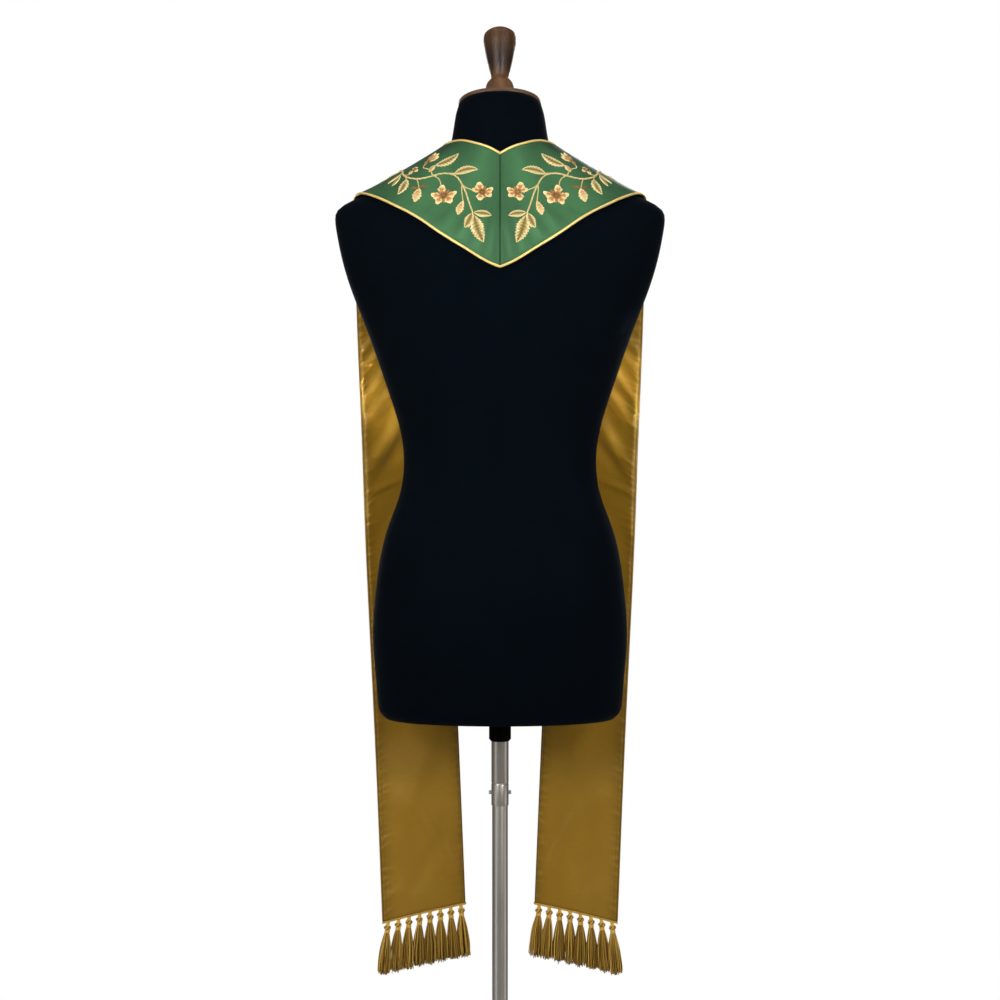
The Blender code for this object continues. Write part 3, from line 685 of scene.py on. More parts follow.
def band_frame(run, share):
    """Place and outward normal of the inner surface, the normal from two short steps along it. At the
    seam in the back the normal has no sideways part, so that the halves meet."""
    here = band_base(run, share)
    along = band_base(run + MM, share) - here
    across = band_base(run, share + SHARE_STEP) - here
    normal = np.cross(along, across)
    normal[..., 0] *= ease(run, -0.5 * MM, 10 * MM)
    return here + (0, 0, FORM_LOW), unit(normal)


# %% The cut, unrolled
def unrolled(neck, outer):
    """The two edges laid flat. Each ruled strip is two triangles that keep their sides' lengths, hinged
    on the strip before, so a third corner is found from its distances to two that are known."""

    def third(first, second, from_first, from_second):
        along = second - first
        length = np.linalg.norm(along)
        x = (from_first**2 - from_second**2 + length**2) / (2 * length)
        y = math.sqrt(max(from_first**2 - x**2, 0))
        return first + (x * along + y * np.array([-along[1], along[0]])) / length

    def apart(first, second):
        return np.linalg.norm(first - second)

    flat_neck, flat_outer = [np.zeros(2)], [np.array([0, -apart(neck[0], outer[0])])]
    for i in range(1, len(neck)):
        neck_step, slanted = apart(neck[i], neck[i - 1]), apart(neck[i], outer[i - 1])
        flat_neck.append(third(flat_neck[-1], flat_outer[-1], neck_step, slanted))
        width, outer_step = apart(neck[i], outer[i]), apart(outer[i], outer[i - 1])
        flat_outer.append(third(flat_neck[-1], flat_outer[-1], width, outer_step))
    return np.array(flat_neck), np.array(flat_outer)


CUT_RUNS = np.linspace(0, BAND_LENGTH, 311)
cut_edges = [band_base(CUT_RUNS, np.full_like(CUT_RUNS, share)) for share in (0.0, 1.0)]
cut_neck, cut_outer = unrolled(*cut_edges)
cut_outline = np.concatenate([cut_neck, cut_outer[::-1]])
HALF_WAY = len(CUT_RUNS) // 2
grain = unit(cut_neck[-1] + cut_outer[-1] - cut_neck[HALF_WAY] - cut_outer[HALF_WAY])  # the long threads
GRAIN = np.array([[grain[1], -grain[0]], [grain[0], grain[1]]])  # rows: across the band, and down it
CUT_SIZE = np.ptp(cut_outline @ GRAIN.T, axis=0)


def flat_place(run, share):
    """Where a point of the band lies on the flat cut, with the notch of the neck as the origin."""
    neck = np.stack([np.interp(run, CUT_RUNS, cut_neck[:, i]) for i in (0, 1)], axis=-1)
    outer = np.stack([np.interp(run, CUT_RUNS, cut_outer[:, i]) for i in (0, 1)], axis=-1)
    return neck + (outer - neck) * share[..., None]


# %% [markdown]
# ## Creases
# Satin is stiff and shiny, so every small pucker shows. There are three kinds: broad waves that both
# layers share, the pulled folds that fan up from the point in the back, and the short puckers that a
# seam makes all along a piped edge. The first two are listed one by one. The last are many and uneven,
# so they are scattered by a seeded draw, each with its own length, width, depth and slant.

# %% Crease tables
COLLAR_FOLDS = [  # in the green satin at the back, from near the seam outwards
    Fold(0.0070, 0.86, 0.010, 0.0034, 0.15, -0.0014),
    Fold(0.0140, 0.88, 0.015, 0.0034, 0.12, 0.0012),
    Fold(0.0215, 0.82, 0.020, 0.0040, 0.20, -0.0022),
    Fold(0.0310, 0.87, 0.020, 0.0044, 0.16, 0.0016),
    Fold(0.0400, 0.84, 0.035, 0.0044, 0.20, -0.0026),
    Fold(0.0520, 0.82, 0.045, 0.0050, 0.17, 0.0020),
    Fold(0.0630, 0.86, 0.050, 0.0046, 0.16, -0.0022),
    Fold(0.0760, 0.86, 0.040, 0.0052, 0.14, 0.0014),
    Fold(0.0880, 0.88, 0.050, 0.0048, 0.14, -0.0017),
    Fold(0.1080, 0.90, 0.040, 0.0050, 0.12, -0.0011),
    Fold(0.1300, 0.90, 0.020, 0.0052, 0.10, -0.0009),
    Fold(0.0300, 0.45, 0.020, 0.0150, 0.40, -0.0016),
    Fold(0.0620, 0.30, 0.030, 0.0170, 0.34, 0.0015),
    Fold(0.0950, 0.50, -0.030, 0.0180, 0.35, -0.0014),
    Fold(0.1350, 0.45, 0.020, 0.0200, 0.40, 0.0012),
    Fold(0.0160, 0.10, 0.010, 0.0060, 0.10, 0.0005),
    Fold(0.0360, 0.08, 0.020, 0.0070, 0.09, -0.0005),
]
LINING_FOLDS = [  # in the gold lining of the hanging fronts; a rise here is towards the form
    Fold(0.402, 0.86, 0.03, 0.009, 0.22, 0.0022),
    Fold(0.447, 0.84, 0.07, 0.009, 0.26, 0.0030),
    Fold(0.474, 0.80, 0.05, 0.010, 0.30, 0.0032),
    Fold(0.503, 0.70, 0.09, 0.011, 0.32, 0.0038),
    Fold(0.541, 0.68, 0.07, 0.012, 0.34, 0.0044),
    Fold(0.594, 0.62, 0.11, 0.018, 0.30, 0.0052),
    Fold(0.624, 0.60, 0.07, 0.013, 0.20, -0.0024),
    Fold(0.665, 0.80, -0.01, 0.006, 0.26, 0.0024),
    Fold(0.705, 0.62, 0.10, 0.022, 0.34, -0.0022),
    Fold(0.790, 0.30, -0.16, 0.022, 0.30, -0.0020),
    Fold(0.850, 0.62, 0.14, 0.030, 0.34, 0.0022),
    Fold(0.915, 0.22, -0.12, 0.018, 0.24, -0.0016),
    Fold(0.965, 0.70, -0.10, 0.026, 0.30, -0.0018),
    Fold(1.030, 0.35, 0.16, 0.030, 0.34, 0.0022),
    Fold(1.100, 0.66, -0.12, 0.024, 0.26, 0.0018),
    Fold(1.148, 0.30, -0.22, 0.009, 0.22, 0.0018),
    Fold(1.180, 0.46, 0.12, 0.018, 0.30, -0.0018),
    Fold(1.212, 0.72, -0.06, 0.012, 0.22, 0.0014),
]
Puckers = namedtuple("Puckers", "seed spacing longest")
FACE_PUCKERS = Puckers(11, 15 * MM, 26 * MM)
LINING_PUCKERS = Puckers(31, 10 * MM, 18 * MM)
FIRST_PUCKER = 20 * MM  # run, clear of the seam in the back
BAND_WIDTH = 0.12  # near enough, to turn a share into metres from an edge


def edge_puckers(run, share, side, rise, puckers):
    """Short bell-shaped troughs square to both edges, fading away from the edge that they hang on. Each
    has its own gap, depth, reach, width and slant."""
    draw = np.random.default_rng(puckers.seed + side)
    total = np.zeros(np.broadcast(run, share).shape)
    for aside in (share, 1 - share):
        inset = np.maximum(aside, 0) * BAND_WIDTH
        place = FIRST_PUCKER
        while place < BAND_LENGTH:
            gap, deep, far, narrow, slant = draw.uniform(0, 1, 5)
            reach, width = (0.3 + 0.7 * far) * puckers.longest, (0.15 + 0.16 * narrow) * puckers.spacing
            line = (run - place - (slant - 0.5) * 0.7 * inset) / width
            total = total + rise * (0.25 + deep) * np.exp(-(line**2) - (inset / reach) ** 2)
            place += (0.6 + 0.7 * gap) * puckers.spacing
    return total


def edge_roll(share, depth):
    """How far the cloth dips where it turns in to an edge seam, over the last few millimetres."""
    inset = np.minimum(share, 1 - share) * BAND_WIDTH
    return -depth * (1 - ease(inset, -0.5 * MM, 3.5 * MM))


# %% Heights of the two layers above the inner surface
LINING_LIFT, FACE_LIFT = 0.3 * MM, 2.7 * MM
SEAM_INSET = 3.4 * MM  # from a long edge to the line of stitches that holds the lining
LINING_SAG = 1.8 * MM  # how far the free lining hangs away from the face
HEM_ROLL = 5 * MM  # the layers come together over this much of the hem
FACE_LEAST, LINING_MOST, SOFT = 1.6 * MM, 0.4 * MM, 0.3 * MM  # neither layer goes through the other
SEAM_VALLEY, SEAM_HALF = 0.9 * MM, 1.6 * MM
SEAM_SLOPE, SLOPE_HALF = 0.25 * MM, 4 * SEAM_HALF
FACE_RISE, LINING_RISE = -0.42 * MM, 1.05 * MM  # of a middling pucker
FACE_ROLL = 1.1 * MM  # how far the face turns down at its edges
HANG_START, HANG_FULL = 0.30, 0.40  # run, where the lining comes free of the form


def back_seam(run):
    """The dip where the halves are sewn together: a bell at run 0, and a fainter, wider one with it."""
    valley = SEAM_VALLEY * np.exp(-((run / SEAM_HALF) ** 2))
    slope = SEAM_SLOPE * np.exp(-((run / SLOPE_HALF) ** 2))
    return -valley - slope


def face_height(run, share, side):
    """The green satin's outer surface."""
    small = edge_puckers(run, share, side, FACE_RISE, FACE_PUCKERS)
    rise = FACE_LIFT + folds(COLLAR_FOLDS, run, share) + small + edge_roll(share, FACE_ROLL) + back_seam(run)
    return FACE_LEAST + SOFT * np.logaddexp(0, (rise - FACE_LEAST) / SOFT)


def lining_height(run, share, side):
    """The gold satin's surface on the form's side; its creases only open where the band hangs free."""
    free = ease(run, HANG_START, HANG_FULL) * (1 - ease(run, BAND_LENGTH - HEM_ROLL, BAND_LENGTH))
    small = edge_puckers(run, share, side, LINING_RISE, LINING_PUCKERS)
    inset = np.minimum(share, 1 - share) * BAND_WIDTH
    fall = free * ease(inset, 0, SEAM_INSET) * (LINING_SAG + folds(LINING_FOLDS, run, share) + small)
    return LINING_MOST - SOFT * np.logaddexp(0, (LINING_MOST - LINING_LIFT + fall) / SOFT)


# %% [markdown]
# ## Satin
# Satin's long floats lie side by side, so it shines softly and a little unevenly. Its fine ribs run
# across the band. Where a piece is cut from the cloth the pattern follows the cut, so the coordinates
# here are metres on the flat cut, across and down.

# %% Satin
RIB, STITCH = 0.55 * MM, 2.8 * MM
MARK_REACH = 20  # millimetres from a long edge at which the lining's first mark is full
GREEN_SHINE, GOLD_SHINE = (0.50, 1.0, 0.60), (1.0, 0.80, 0.42)


def lining_edge(cloth, down, colour, ribs, dark):
    """Adds the stitched edge to a lining's colour and ribs, from the marks in its tint: painted shade in the
    hollows of the puckers, a line of stitches, and a painted shadow along the joint at the piping."""
    own = cloth.own_tint()
    inset = cloth.node("ShaderNodeSeparateColor", {}, (own,), 0) * MARK_REACH
    painted_hollow_shade = cloth.node("ShaderNodeSeparateColor", {}, (own,), 1)
    line = (1.0 - (inset - SEAM_INSET / MM).size() * 1.6).clamp()
    thread = (down * (TURN / STITCH)).sine() * 0.3 + 0.55
    # painted shadow along the joint where the lining meets the piping
    joint_shadow = (1.0 - inset * 4.0).clamp() * 0.75
    # painted shade in the hollows between the puckers
    colour = cloth.blend(painted_hollow_shade * 0.42, colour, darker(dark, 0.40))
    colour = cloth.blend(line * thread, colour, darker(dark, 0.30))
    colour = cloth.blend(joint_shadow, colour, darker(dark, 0.12))
    return colour, ribs - line * 6.0


def satin(name, dark, light, shine, rough, gleam, stitched):
    """Ribs of floats, slubs along the weft, and slow clouds of tone. The tint is the face's painted light and
    shade; on the stitched lining it holds marks and painted shade instead."""
    cloth = Finish(name)
    across, down, _ = cloth.place()
    slub = cloth.noise(across * 60.0, down * 1500.0, detail=3.0, roughness=0.6)
    warp = cloth.noise(across * 1800.0, down * 50.0, 7.0, detail=2.0)
    cloud = cloth.noise(across * 18.0, down * 11.0, 2.0, detail=3.0)
    tone = ((cloud - 0.5) * 0.9 + (slub - 0.5) * 0.7 + (warp - 0.5) * 0.5 + 0.5).clamp()
    ribs = (down * (TURN / RIB)).sine() * 0.25 + slub * 0.8 + warp * 0.5
    colour = cloth.blend(tone, dark, light)
    if stitched:
        colour, ribs = lining_edge(cloth, down, colour, ribs, dark)
    else:
        # the face's colour times its painted light and shade
        colour = cloth.tinted(colour)
    return cloth.set(Base_Color=colour, Roughness=(slub * 0.10 + rough - 0.05).clamp(),
                     Normal=cloth.bump(ribs, 0.05 * MM, 0.5), Specular_IOR_Level=shine, Specular_Tint=gleam)


green_satin = satin("green satin", dark=(0.025, 0.078, 0.031), light=(0.047, 0.129, 0.053),
                    shine=0.24, rough=0.48, gleam=GREEN_SHINE, stitched=False)
gold_satin = satin("gold satin", dark=(0.195, 0.100, 0.007), light=(0.302, 0.164, 0.015),
                   shine=0.42, rough=0.36, gleam=GOLD_SHINE, stitched=True)

# %% [markdown]
# ## The four cut panels
# A face and a lining for each half. Each is an open grid, fine enough for its puckers, and Solidify gives
# it the thickness of cloth. The second half is the mirror image, but its small puckers are drawn anew.

# %% Faces and linings
PANEL_COLUMNS, FACE_ROWS, LINING_ROWS = 47, 440, 700
CROWDING = 0.09  # how much closer together the columns are near the edges
FACE_PAST, LINING_PAST = 0.003, 0.009  # how far each layer goes on under the piping, in shares
CLOTH_THICKNESS = 0.5 * MM
SEAM_START = 0.2 * MM  # how far each half stays from the plane between them
# painted light and shade on the green face: lighter on crease ridges, darker in troughs, seam and shoulder
CREASE_PAINTED_LIGHT, SEAM_PAINTED_SHADE, SHOULDER_PAINTED_SHADE, OUTER_PAINTED_SHADE = 0.25, 0.28, 0.38, 0.34
DEEP_CREASE = 2.4 * MM


def panel_runs(rows):
    """Rows close together over the collar, where the cloth is seen best, and wider below."""
    t = np.linspace(0, 1, rows)
    return SEAM_START + (BAND_LENGTH - SEAM_START) * (0.75 * t + 0.25 * t**2)


def painted_face_shade(run, share):
    """Painted light and shade on the green face: lighter on the ridges of the creases and darker in their
    troughs, and darker beside the seam, along the neck edge where it meets the shoulder, and out on the
    shoulder. Both shoulder shades are gone again at the front."""
    crease = CREASE_PAINTED_LIGHT * np.clip(folds(COLLAR_FOLDS, run, share) / DEEP_CREASE, -1, 1)
    painted_hollow_shade = SEAM_PAINTED_SHADE * np.exp(-((run / (20 * MM)) ** 2))
    shoulder = SHOULDER_PAINTED_SHADE * ease(run, 0.04, 0.12) * np.exp(-((share / 0.30) ** 2))
    outer = OUTER_PAINTED_SHADE * ease(run, 0.110, 0.165)
    return 1 + crease - painted_hollow_shade - (shoulder + outer) * (1 - ease(run, 0.19, 0.27))


def lining_marks_and_shade(run, share, inset, side):
    """In red how far a point is from its long edge, and in green the painted shade of the hollows between
    the puckers along it. The inset is in millimetres."""
    small = edge_puckers(run, share, side, 1.2, LINING_PUCKERS)
    painted_hollow_shade = np.exp(-((inset / 11) ** 2)) * (1 - np.clip(small, 0, 1))
    return np.stack([np.clip(inset, 0, MARK_REACH) / MARK_REACH, painted_hollow_shade, 0 * painted_hollow_shade], axis=-1)


def panel(name, side, height, rows, past, finish, faces_form):
    """One layer of one half. Columns run so that the quads face away from the other layer. Its long edges
    go on a little under the piping."""
    even = np.linspace(0, 1, PANEL_COLUMNS)
    columns = -past + (1 + 2 * past) * (even - CROWDING * np.sin(TURN * even))
    run, share = np.meshgrid(panel_runs(rows), columns, indexing="ij")
    place, normal = band_frame(run, share)
    points = place + normal * height(run, share, side)[..., None]
    points[0, :, 0] = SEAM_START
    points = points * (side, 1, 1)
    uv = flat_place(run, share) @ GRAIN.T
    inset = np.minimum(share, 1 - share) * BAND_WIDTH / MM
    if faces_form:
        tint = lining_marks_and_shade(run, share, inset, side)
    else:
        tint = np.repeat(painted_face_shade(run, share)[..., None], 3, axis=-1)
    if (side == 1) != faces_form:
        points, uv, tint = points[:, ::-1], uv[:, ::-1], tint[:, ::-1]
    made = piece(name, [Loft(points[None], uv[None], tint[None])], finish, closed=False)
    solidify = made.modifiers.new("Thickness", "SOLIDIFY")
    solidify.thickness = CLOTH_THICKNESS
    solidify.offset = -1
    return made


for side, half in HALVES:
    panel(
        f"satin_face_{half}", side, face_height, FACE_ROWS, FACE_PAST, green_satin, faces_form=False)
    panel(
        f"satin_lining_{half}", side, lining_height, LINING_ROWS, LINING_PAST, gold_satin, faces_form=True)
    for layer, slot in (("face", "green_satin"), ("lining", "gold_satin")):
        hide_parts(f"{layer}_{half}")

# %% [markdown]
# ## Piping
# A narrow strip of bright gold satin, cut on the bias and folded round a cord, is caught in both long
# edges. It is one smooth tube from hem to hem through the seam in the back. Bias satin wraps with fine
# slanting wrinkles, which are bump, because they are far thinner than the cord.

# %% Tubes along a path
def tube(path, normal, radius, around=12):
    """A round tube: at each point of the path a circle square to it, started from the normal. Works on
    one path or on many at once; radius may change along it."""
    along = unit(np.gradient(path, axis=-2))
    side = unit(np.cross(along, normal))
    out = np.cross(side, along)
    angle = np.linspace(0, TURN, around, endpoint=False)[:, None]
    radius = np.asarray(radius)[..., None, None]
    ring = np.cos(angle) * side[..., None, :] + np.sin(angle) * out[..., None, :]
    return path[..., None, :] + radius * ring


def tube_uv(path, around):
    """Turns round the tube, and metres along it."""
    length = np.linalg.norm(np.diff(path, axis=-2), axis=-1)
    along = np.concatenate([np.zeros_like(length[..., :1]), np.cumsum(length, axis=-1)], axis=-1)
    turns = np.arange(around) / around
    return np.stack(np.broadcast_arrays(turns, along[..., None]), axis=-1)


def edge_line(share, beyond, lift, least, count):
    """A line beside one long edge of the left band, and the outward normal along it. Beyond and lift give
    its place from the edge, in the cloth's plane and off it, and least is its clearance of the form."""
    run = panel_runs(count)
    run[0] = 0
    step = SHARE_STEP if share < 0.5 else -SHARE_STEP
    edge, inside = (band_base(run, np.full(count, at)) for at in (share, share + step))
    along = np.gradient(edge, axis=0)
    along[0] = 1, 0, 0
    along = unit(along)
    away = edge - inside
    away = unit(away - (away * along).sum(axis=1, keepdims=True) * along)
    out = np.cross(along, away) * (-1 if share < 0.5 else 1)
    line = kept_clear(edge + beyond(run)[:, None] * away + lift(run)[:, None] * out, least)
    line[0, 0] = 0
    return line + (0, 0, FORM_LOW), out


def mirrored(line, flip=(-1, 1, 1)):
    """A line of the left half continued through the seam in the back as its mirror image."""
    return np.concatenate([line[:0:-1] * flip, line])


def length_of(line):
    return float(np.linalg.norm(np.diff(line, axis=0), axis=1).sum())


# %% Gold piping
PIPING_RADIUS, PIPING_ROWS, PIPING_SIDES = 1.65 * MM, 400, 12
PIPING_CLEARANCE = PIPING_RADIUS + 0.7 * MM
HANGS_FROM, HANGS_FULLY = 0.25, 0.33  # run, where the band leaves the shoulder


def piping_out(run):
    """How far the cord's middle is beyond the edge: a little less where the band hangs."""
    return 2.0 * MM - 1.8 * MM * ease(run, HANGS_FROM, HANGS_FULLY)


def piping_lift(run):
    """How far it is off the band's inner surface."""
    return 1.3 * MM + 0.9 * MM * ease(run, HANGS_FROM, HANGS_FULLY)


def gold_piping():
    """Bias satin: slanted wrinkles round the cord, bumped and also painted lighter on their crests and darker
    in their troughs, and a slow change of tone along it.
    """
    cloth = Finish("gold piping")
    turn, along, _ = cloth.place()
    wrinkle = cloth.noise(turn * 2.0 + along * 160.0, along * 620.0, detail=3.0, roughness=0.6)
    cloud = cloth.noise(along * 40.0, turn * 0.5, 4.0)
    # painted light and shade: the colour follows the wrinkles, with a slow real change of tone added
    tone = ((wrinkle - 0.5) * 0.8 + (cloud - 0.5) * 0.6 + 0.5).clamp()
    colour = cloth.blend(tone, (0.58, 0.37, 0.095), (0.91, 0.69, 0.265))
    return cloth.set(Base_Color=cloth.tinted(colour), Roughness=0.30, Metallic=0.30,
                     Normal=cloth.bump(wrinkle, 0.10 * MM, 0.6), Specular_IOR_Level=0.5,
                     Specular_Tint=GOLD_SHINE)


UNDERSIDE_PAINTED_SHADE = np.array([0.38, 0.30, 0.18])  # painted shade: where the band hangs, the cord's side towards the form is darkened to brown gold
piping_finish = gold_piping()
for name, share in (("neck", 0.0), ("outer", 1.0)):
    line, out = edge_line(share, piping_out, piping_lift, PIPING_CLEARANCE, PIPING_ROWS)
    line, out = mirrored(line), mirrored(out)
    cord = tube(line, out, np.full(len(line), PIPING_RADIUS), PIPING_SIDES)
    hang = mirrored(ease(panel_runs(PIPING_ROWS), HANGS_FROM, HANGS_FULLY)[:, None], 1)
    under = ease(-np.sin(TURN * np.arange(PIPING_SIDES) / PIPING_SIDES), -0.9, -0.2)
    # painted shade on the cord's side towards the form where the band hangs
    tint = 1 + (UNDERSIDE_PAINTED_SHADE - 1) * (hang * under)[..., None]
    loft = Loft(cord[None], tube_uv(line, PIPING_SIDES)[None], tint[None])
    made = piece(f"gold_piping_{name}", [loft], piping_finish)
    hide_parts(f"piping_{name}")
    print(made.name, "is", round(length_of(line), 3), "m long")

# %% [markdown]
# ## The braid and the tassels at the hems
# A three-strand plait covers the end of each band, and eight knotted tassels hang from it. In a plait
# each strand swings from side to side once while it passes over and under twice, so its path is a sine
# across and a sine of twice the angle in depth, and the strands are a third of a turn apart.

# %% Yarn
def gold_yarn():
    """Rayon yarn: its plies twist round it as fine ridges, with painted shade in the grooves between them,
    and each yarn has its own tone.
    """
    yarn = Finish("gold yarn")
    turn, along, _ = yarn.place()
    ply = (turn * (2 * TURN) + along * (TURN / (1.4 * MM))).sine() * 0.5 + 0.5
    fuzz = yarn.noise(turn * 4.0, along * 1200.0, detail=3.0)
    # painted shade: darker in the grooves between the plies, with a little random fuzz
    shade = yarn.blend((ply * 0.55 + fuzz * 0.6).clamp(), (0.46, 0.38, 0.28), (1.0, 1.0, 1.0))
    return yarn.set(Base_Color=yarn.tinted(shade), Roughness=0.50, Normal=yarn.bump(ply, 0.12 * MM, 0.7),
                    Specular_IOR_Level=0.4, Specular_Tint=GOLD_SHINE)


yarn_finish = gold_yarn()
YARN_DARK, YARN_LIGHT = np.array([0.190, 0.088, 0.006]), np.array([0.92, 0.60, 0.115])


def yarn_tint(light):
    """A yarn's colour from dark at 0 to light at 1."""
    return YARN_DARK + (YARN_LIGHT - YARN_DARK) * light


# %% The plait along each hem
HEM_PAST, HEM_DROP, HEM_MIDDLE = 0.020, 1.3 * MM, 1.35 * MM
PLAIT_PITCH, PLAIT_SWING, PLAIT_DEPTH, STRAND_RADIUS = 5.4 * MM, 1.15 * MM, 0.60 * MM, 0.75 * MM
PLAIT_POINTS, STRAND_SIDES = 320, 6


def hem_points(share):
    """Points of the left hem midway through the cloth, and the way down the band there."""
    run = np.array([BAND_LENGTH - 20 * MM, BAND_LENGTH])[:, None]
    above, points = band_base(*np.broadcast_arrays(run, share)) + (0, -HEM_MIDDLE, FORM_LOW)
    return points, unit(points - above)


hem_share = np.linspace(-HEM_PAST, 1 + HEM_PAST, PLAIT_POINTS)
hem_line, hem_down = hem_points(hem_share)
hem_line = hem_line + HEM_DROP * hem_down
hem_out = np.cross(hem_down, unit(np.gradient(hem_line, axis=0)))
hem_length = np.concatenate([[0], np.cumsum(np.linalg.norm(np.diff(hem_line, axis=0), axis=1))])
swing = TURN * (hem_length / PLAIT_PITCH + np.arange(3)[:, None] / 3)
aside, deep = PLAIT_SWING * np.sin(swing)[..., None], PLAIT_DEPTH * np.sin(2 * swing)[..., None]
strands = hem_line + aside * hem_down + deep * hem_out
plait = tube(strands, np.broadcast_to(hem_out, strands.shape), STRAND_RADIUS, STRAND_SIDES)
painted_crossing_shade = 0.15 + 0.70 * np.abs(np.sin(2 * swing))[..., None, None]  # painted shade: a strand is darkest where two cross
for side, half in HALVES:
    braid = Loft(plait * (side, 1, 1), tube_uv(strands, STRAND_SIDES), yarn_tint(painted_crossing_shade))
    piece(f"gold_plait_{half}", [braid], yarn_finish)
    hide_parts(f"braid_{half}")
print("each plait is", round(length_of(hem_line), 3), "m long")

# %% [markdown]
# ## Tassels
# A tassel is a hank of yarns folded over a hanging cord, tied off into a ball, and bound below it. The
# yarns start packed in a small disc, like the seeds of a sunflower, and each goes down to its own place
# in a wider one, with a little wave, and is trimmed to almost the same length. The ball is the same yarns
# pulled round a core, so its ridges run aslant.

# %% One tassel
TASSELS = 8
TASSEL_FAN = math.radians(5)
CORD_RADIUS, BALL_RADIUS, BALL_MIDDLE, BALL_HALF = 2.5 * MM, 4.8 * MM, 7.2 * MM, 3.6 * MM
NECK_RADIUS, NECK_TOP, NECK_END, NECK_COILS = 3.3 * MM, 10.3 * MM, 14.4 * MM, 3
KNOT_ROWS, KNOT_SIDES = 46, 26
YARNS, YARN_RADIUS, YARN_END, YARN_SPREAD = 72, 0.66 * MM, 71.0 * MM, 9.3 * MM
YARN_ROWS, YARN_SIDES = 9, 5
GOLDEN_ANGLE = math.pi * (3 - math.sqrt(5))  # from one seed of a sunflower to the next


def knot_loft(draw):
    """Cord, ball and binding as one turned shape: the radius is the profile's, with ridges added. On the
    ball they slant; on the binding they are coils one above the other. Its colour holds painted shade
    between the ball's ridges and under the ball."""
    t = np.linspace(0, 1, KNOT_ROWS)[:, None]
    angle = np.linspace(0, TURN, KNOT_SIDES, endpoint=False)
    below = NECK_END * t
    around_ball = np.clip((below - BALL_MIDDLE) / BALL_HALF, -1, 1)
    ball = BALL_RADIUS * np.sqrt(1 - around_ball**2)
    wind = 5 * angle + around_ball * 3.2 + draw.uniform(0, TURN)
    ridge = 1 + 0.10 * np.cos(wind)
    binding = ease(below, NECK_TOP - 1.0 * MM, NECK_TOP)
    coil = np.sin(math.pi * NECK_COILS * (below - NECK_TOP) / (NECK_END - NECK_TOP)) ** 2
    neck = (NECK_RADIUS + 0.45 * MM * coil) * binding
    cord = CORD_RADIUS * (1 + 0.12 * np.cos(2 * angle + below / (0.6 * MM)))
    radius = np.maximum(np.maximum(ball * ridge, cord), neck + 0 * angle)
    points = np.stack([radius * np.cos(angle), radius * np.sin(angle), -below + 0 * angle], axis=-1)
    uv = np.stack(np.broadcast_arrays(angle / TURN, below), axis=-1)
    on_ball = ease(ball + 0 * angle, 0.5 * BALL_RADIUS, 0.8 * BALL_RADIUS)
    # painted shade between the ball's ridges and under the ball
    painted_groove_shade = on_ball * (0.42 - 0.42 * np.cos(wind))
    painted_shade_under_ball = 0.5 * ease(around_ball, 0.55, 0.85) * (1 - binding)
    light = np.clip(0.80 - painted_groove_shade - painted_shade_under_ball, 0, 1)
    return Loft(points[None], uv[None], yarn_tint(light[..., None])[None])


def skirt_loft(draw):
    """The yarns: a start and an end on two sunflower discs, eased from one to the other, and a wave. The
    inner yarns are darker, as less light comes to them."""
    count = np.arange(YARNS)
    disc = np.sqrt((count + 0.5) / YARNS)
    turn = count * GOLDEN_ANGLE + draw.normal(0, 0.12, YARNS)
    t = np.linspace(0, 1, YARN_ROWS)
    widen = 1 - (1 - t) ** 2.5
    far = YARN_SPREAD * disc * draw.uniform(0.88, 1.10, YARNS)
    radius = (NECK_RADIUS * 0.72 * disc)[:, None] * (1 - widen) + far[:, None] * widen
    wave = 0.55 * MM * t * np.sin(draw.uniform(0, TURN, (YARNS, 1)) + draw.uniform(4, 9, (YARNS, 1)) * t)
    end = YARN_END + draw.normal(0, 1.3 * MM, YARNS) - 3.5 * MM * disc**2
    down = (NECK_END - 2 * MM) + (end[:, None] - NECK_END + 2 * MM) * t
    x = radius * np.cos(turn)[:, None] + wave
    y = 0.80 * radius * np.sin(turn)[:, None] + np.roll(wave, 7, axis=0)
    path = np.stack([x, y, -down], axis=-1)
    thin = YARN_RADIUS * (1 - 0.25 * t**6)
    points = tube(path, np.broadcast_to([0.0, 1.0, 0.0], path.shape), thin, YARN_SIDES)
    tone = (0.05 + 0.85 * draw.uniform(0, 1, YARNS) ** 1.5)[:, None, None, None]
    inner = (0.45 + 0.55 * disc)[:, None, None, None]
    return Loft(points, tube_uv(path, YARN_SIDES), yarn_tint(tone) * inner)


# %% Eight tassels to a hem
def hung(loft, head, lean):
    """A loft turned by lean about Y and moved to hang from head."""
    c, s = math.cos(lean), math.sin(lean)
    turn = np.array([[c, 0, s], [0, 1, 0], [-s, 0, c]])
    return loft._replace(points=loft.points @ turn.T + head)


for side, half in HALVES:
    draw = np.random.default_rng(5 + side)
    across = (np.arange(TASSELS) + 0.5) / TASSELS
    heads, downs = hem_points(across * (1 + 2 * HEM_PAST) - HEM_PAST)
    heads = (heads + 2 * HEM_DROP * downs) * (side, 1, 1)
    lofts = []
    for place, head in zip(across, heads):
        lean = -TASSEL_FAN * (2 * place - 1) * side
        lofts.append(hung(knot_loft(draw), head, lean))
        lofts.append(hung(skirt_loft(draw), head, lean + draw.normal(0, 0.012)))
    piece(f"gold_tassels_{half}", lofts, yarn_finish)
    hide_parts(*(f"tassel_{half}_{number + 1}" for number in range(TASSELS)))

# %% [markdown]
# ## The embroidered vine
# Each half of the collar carries a vine in gold thread: a curling stem, toothed leaves, and five-petalled
# flowers shaded from copper to champagne. It is worked on the flat cut before the stole is made up, so
# it is drawn here on the flat cut too, in millimetres from the notch of the neck: p outwards, and q down
# the seam in the back, which is negative. Every point is then carried to where the cloth has gone.

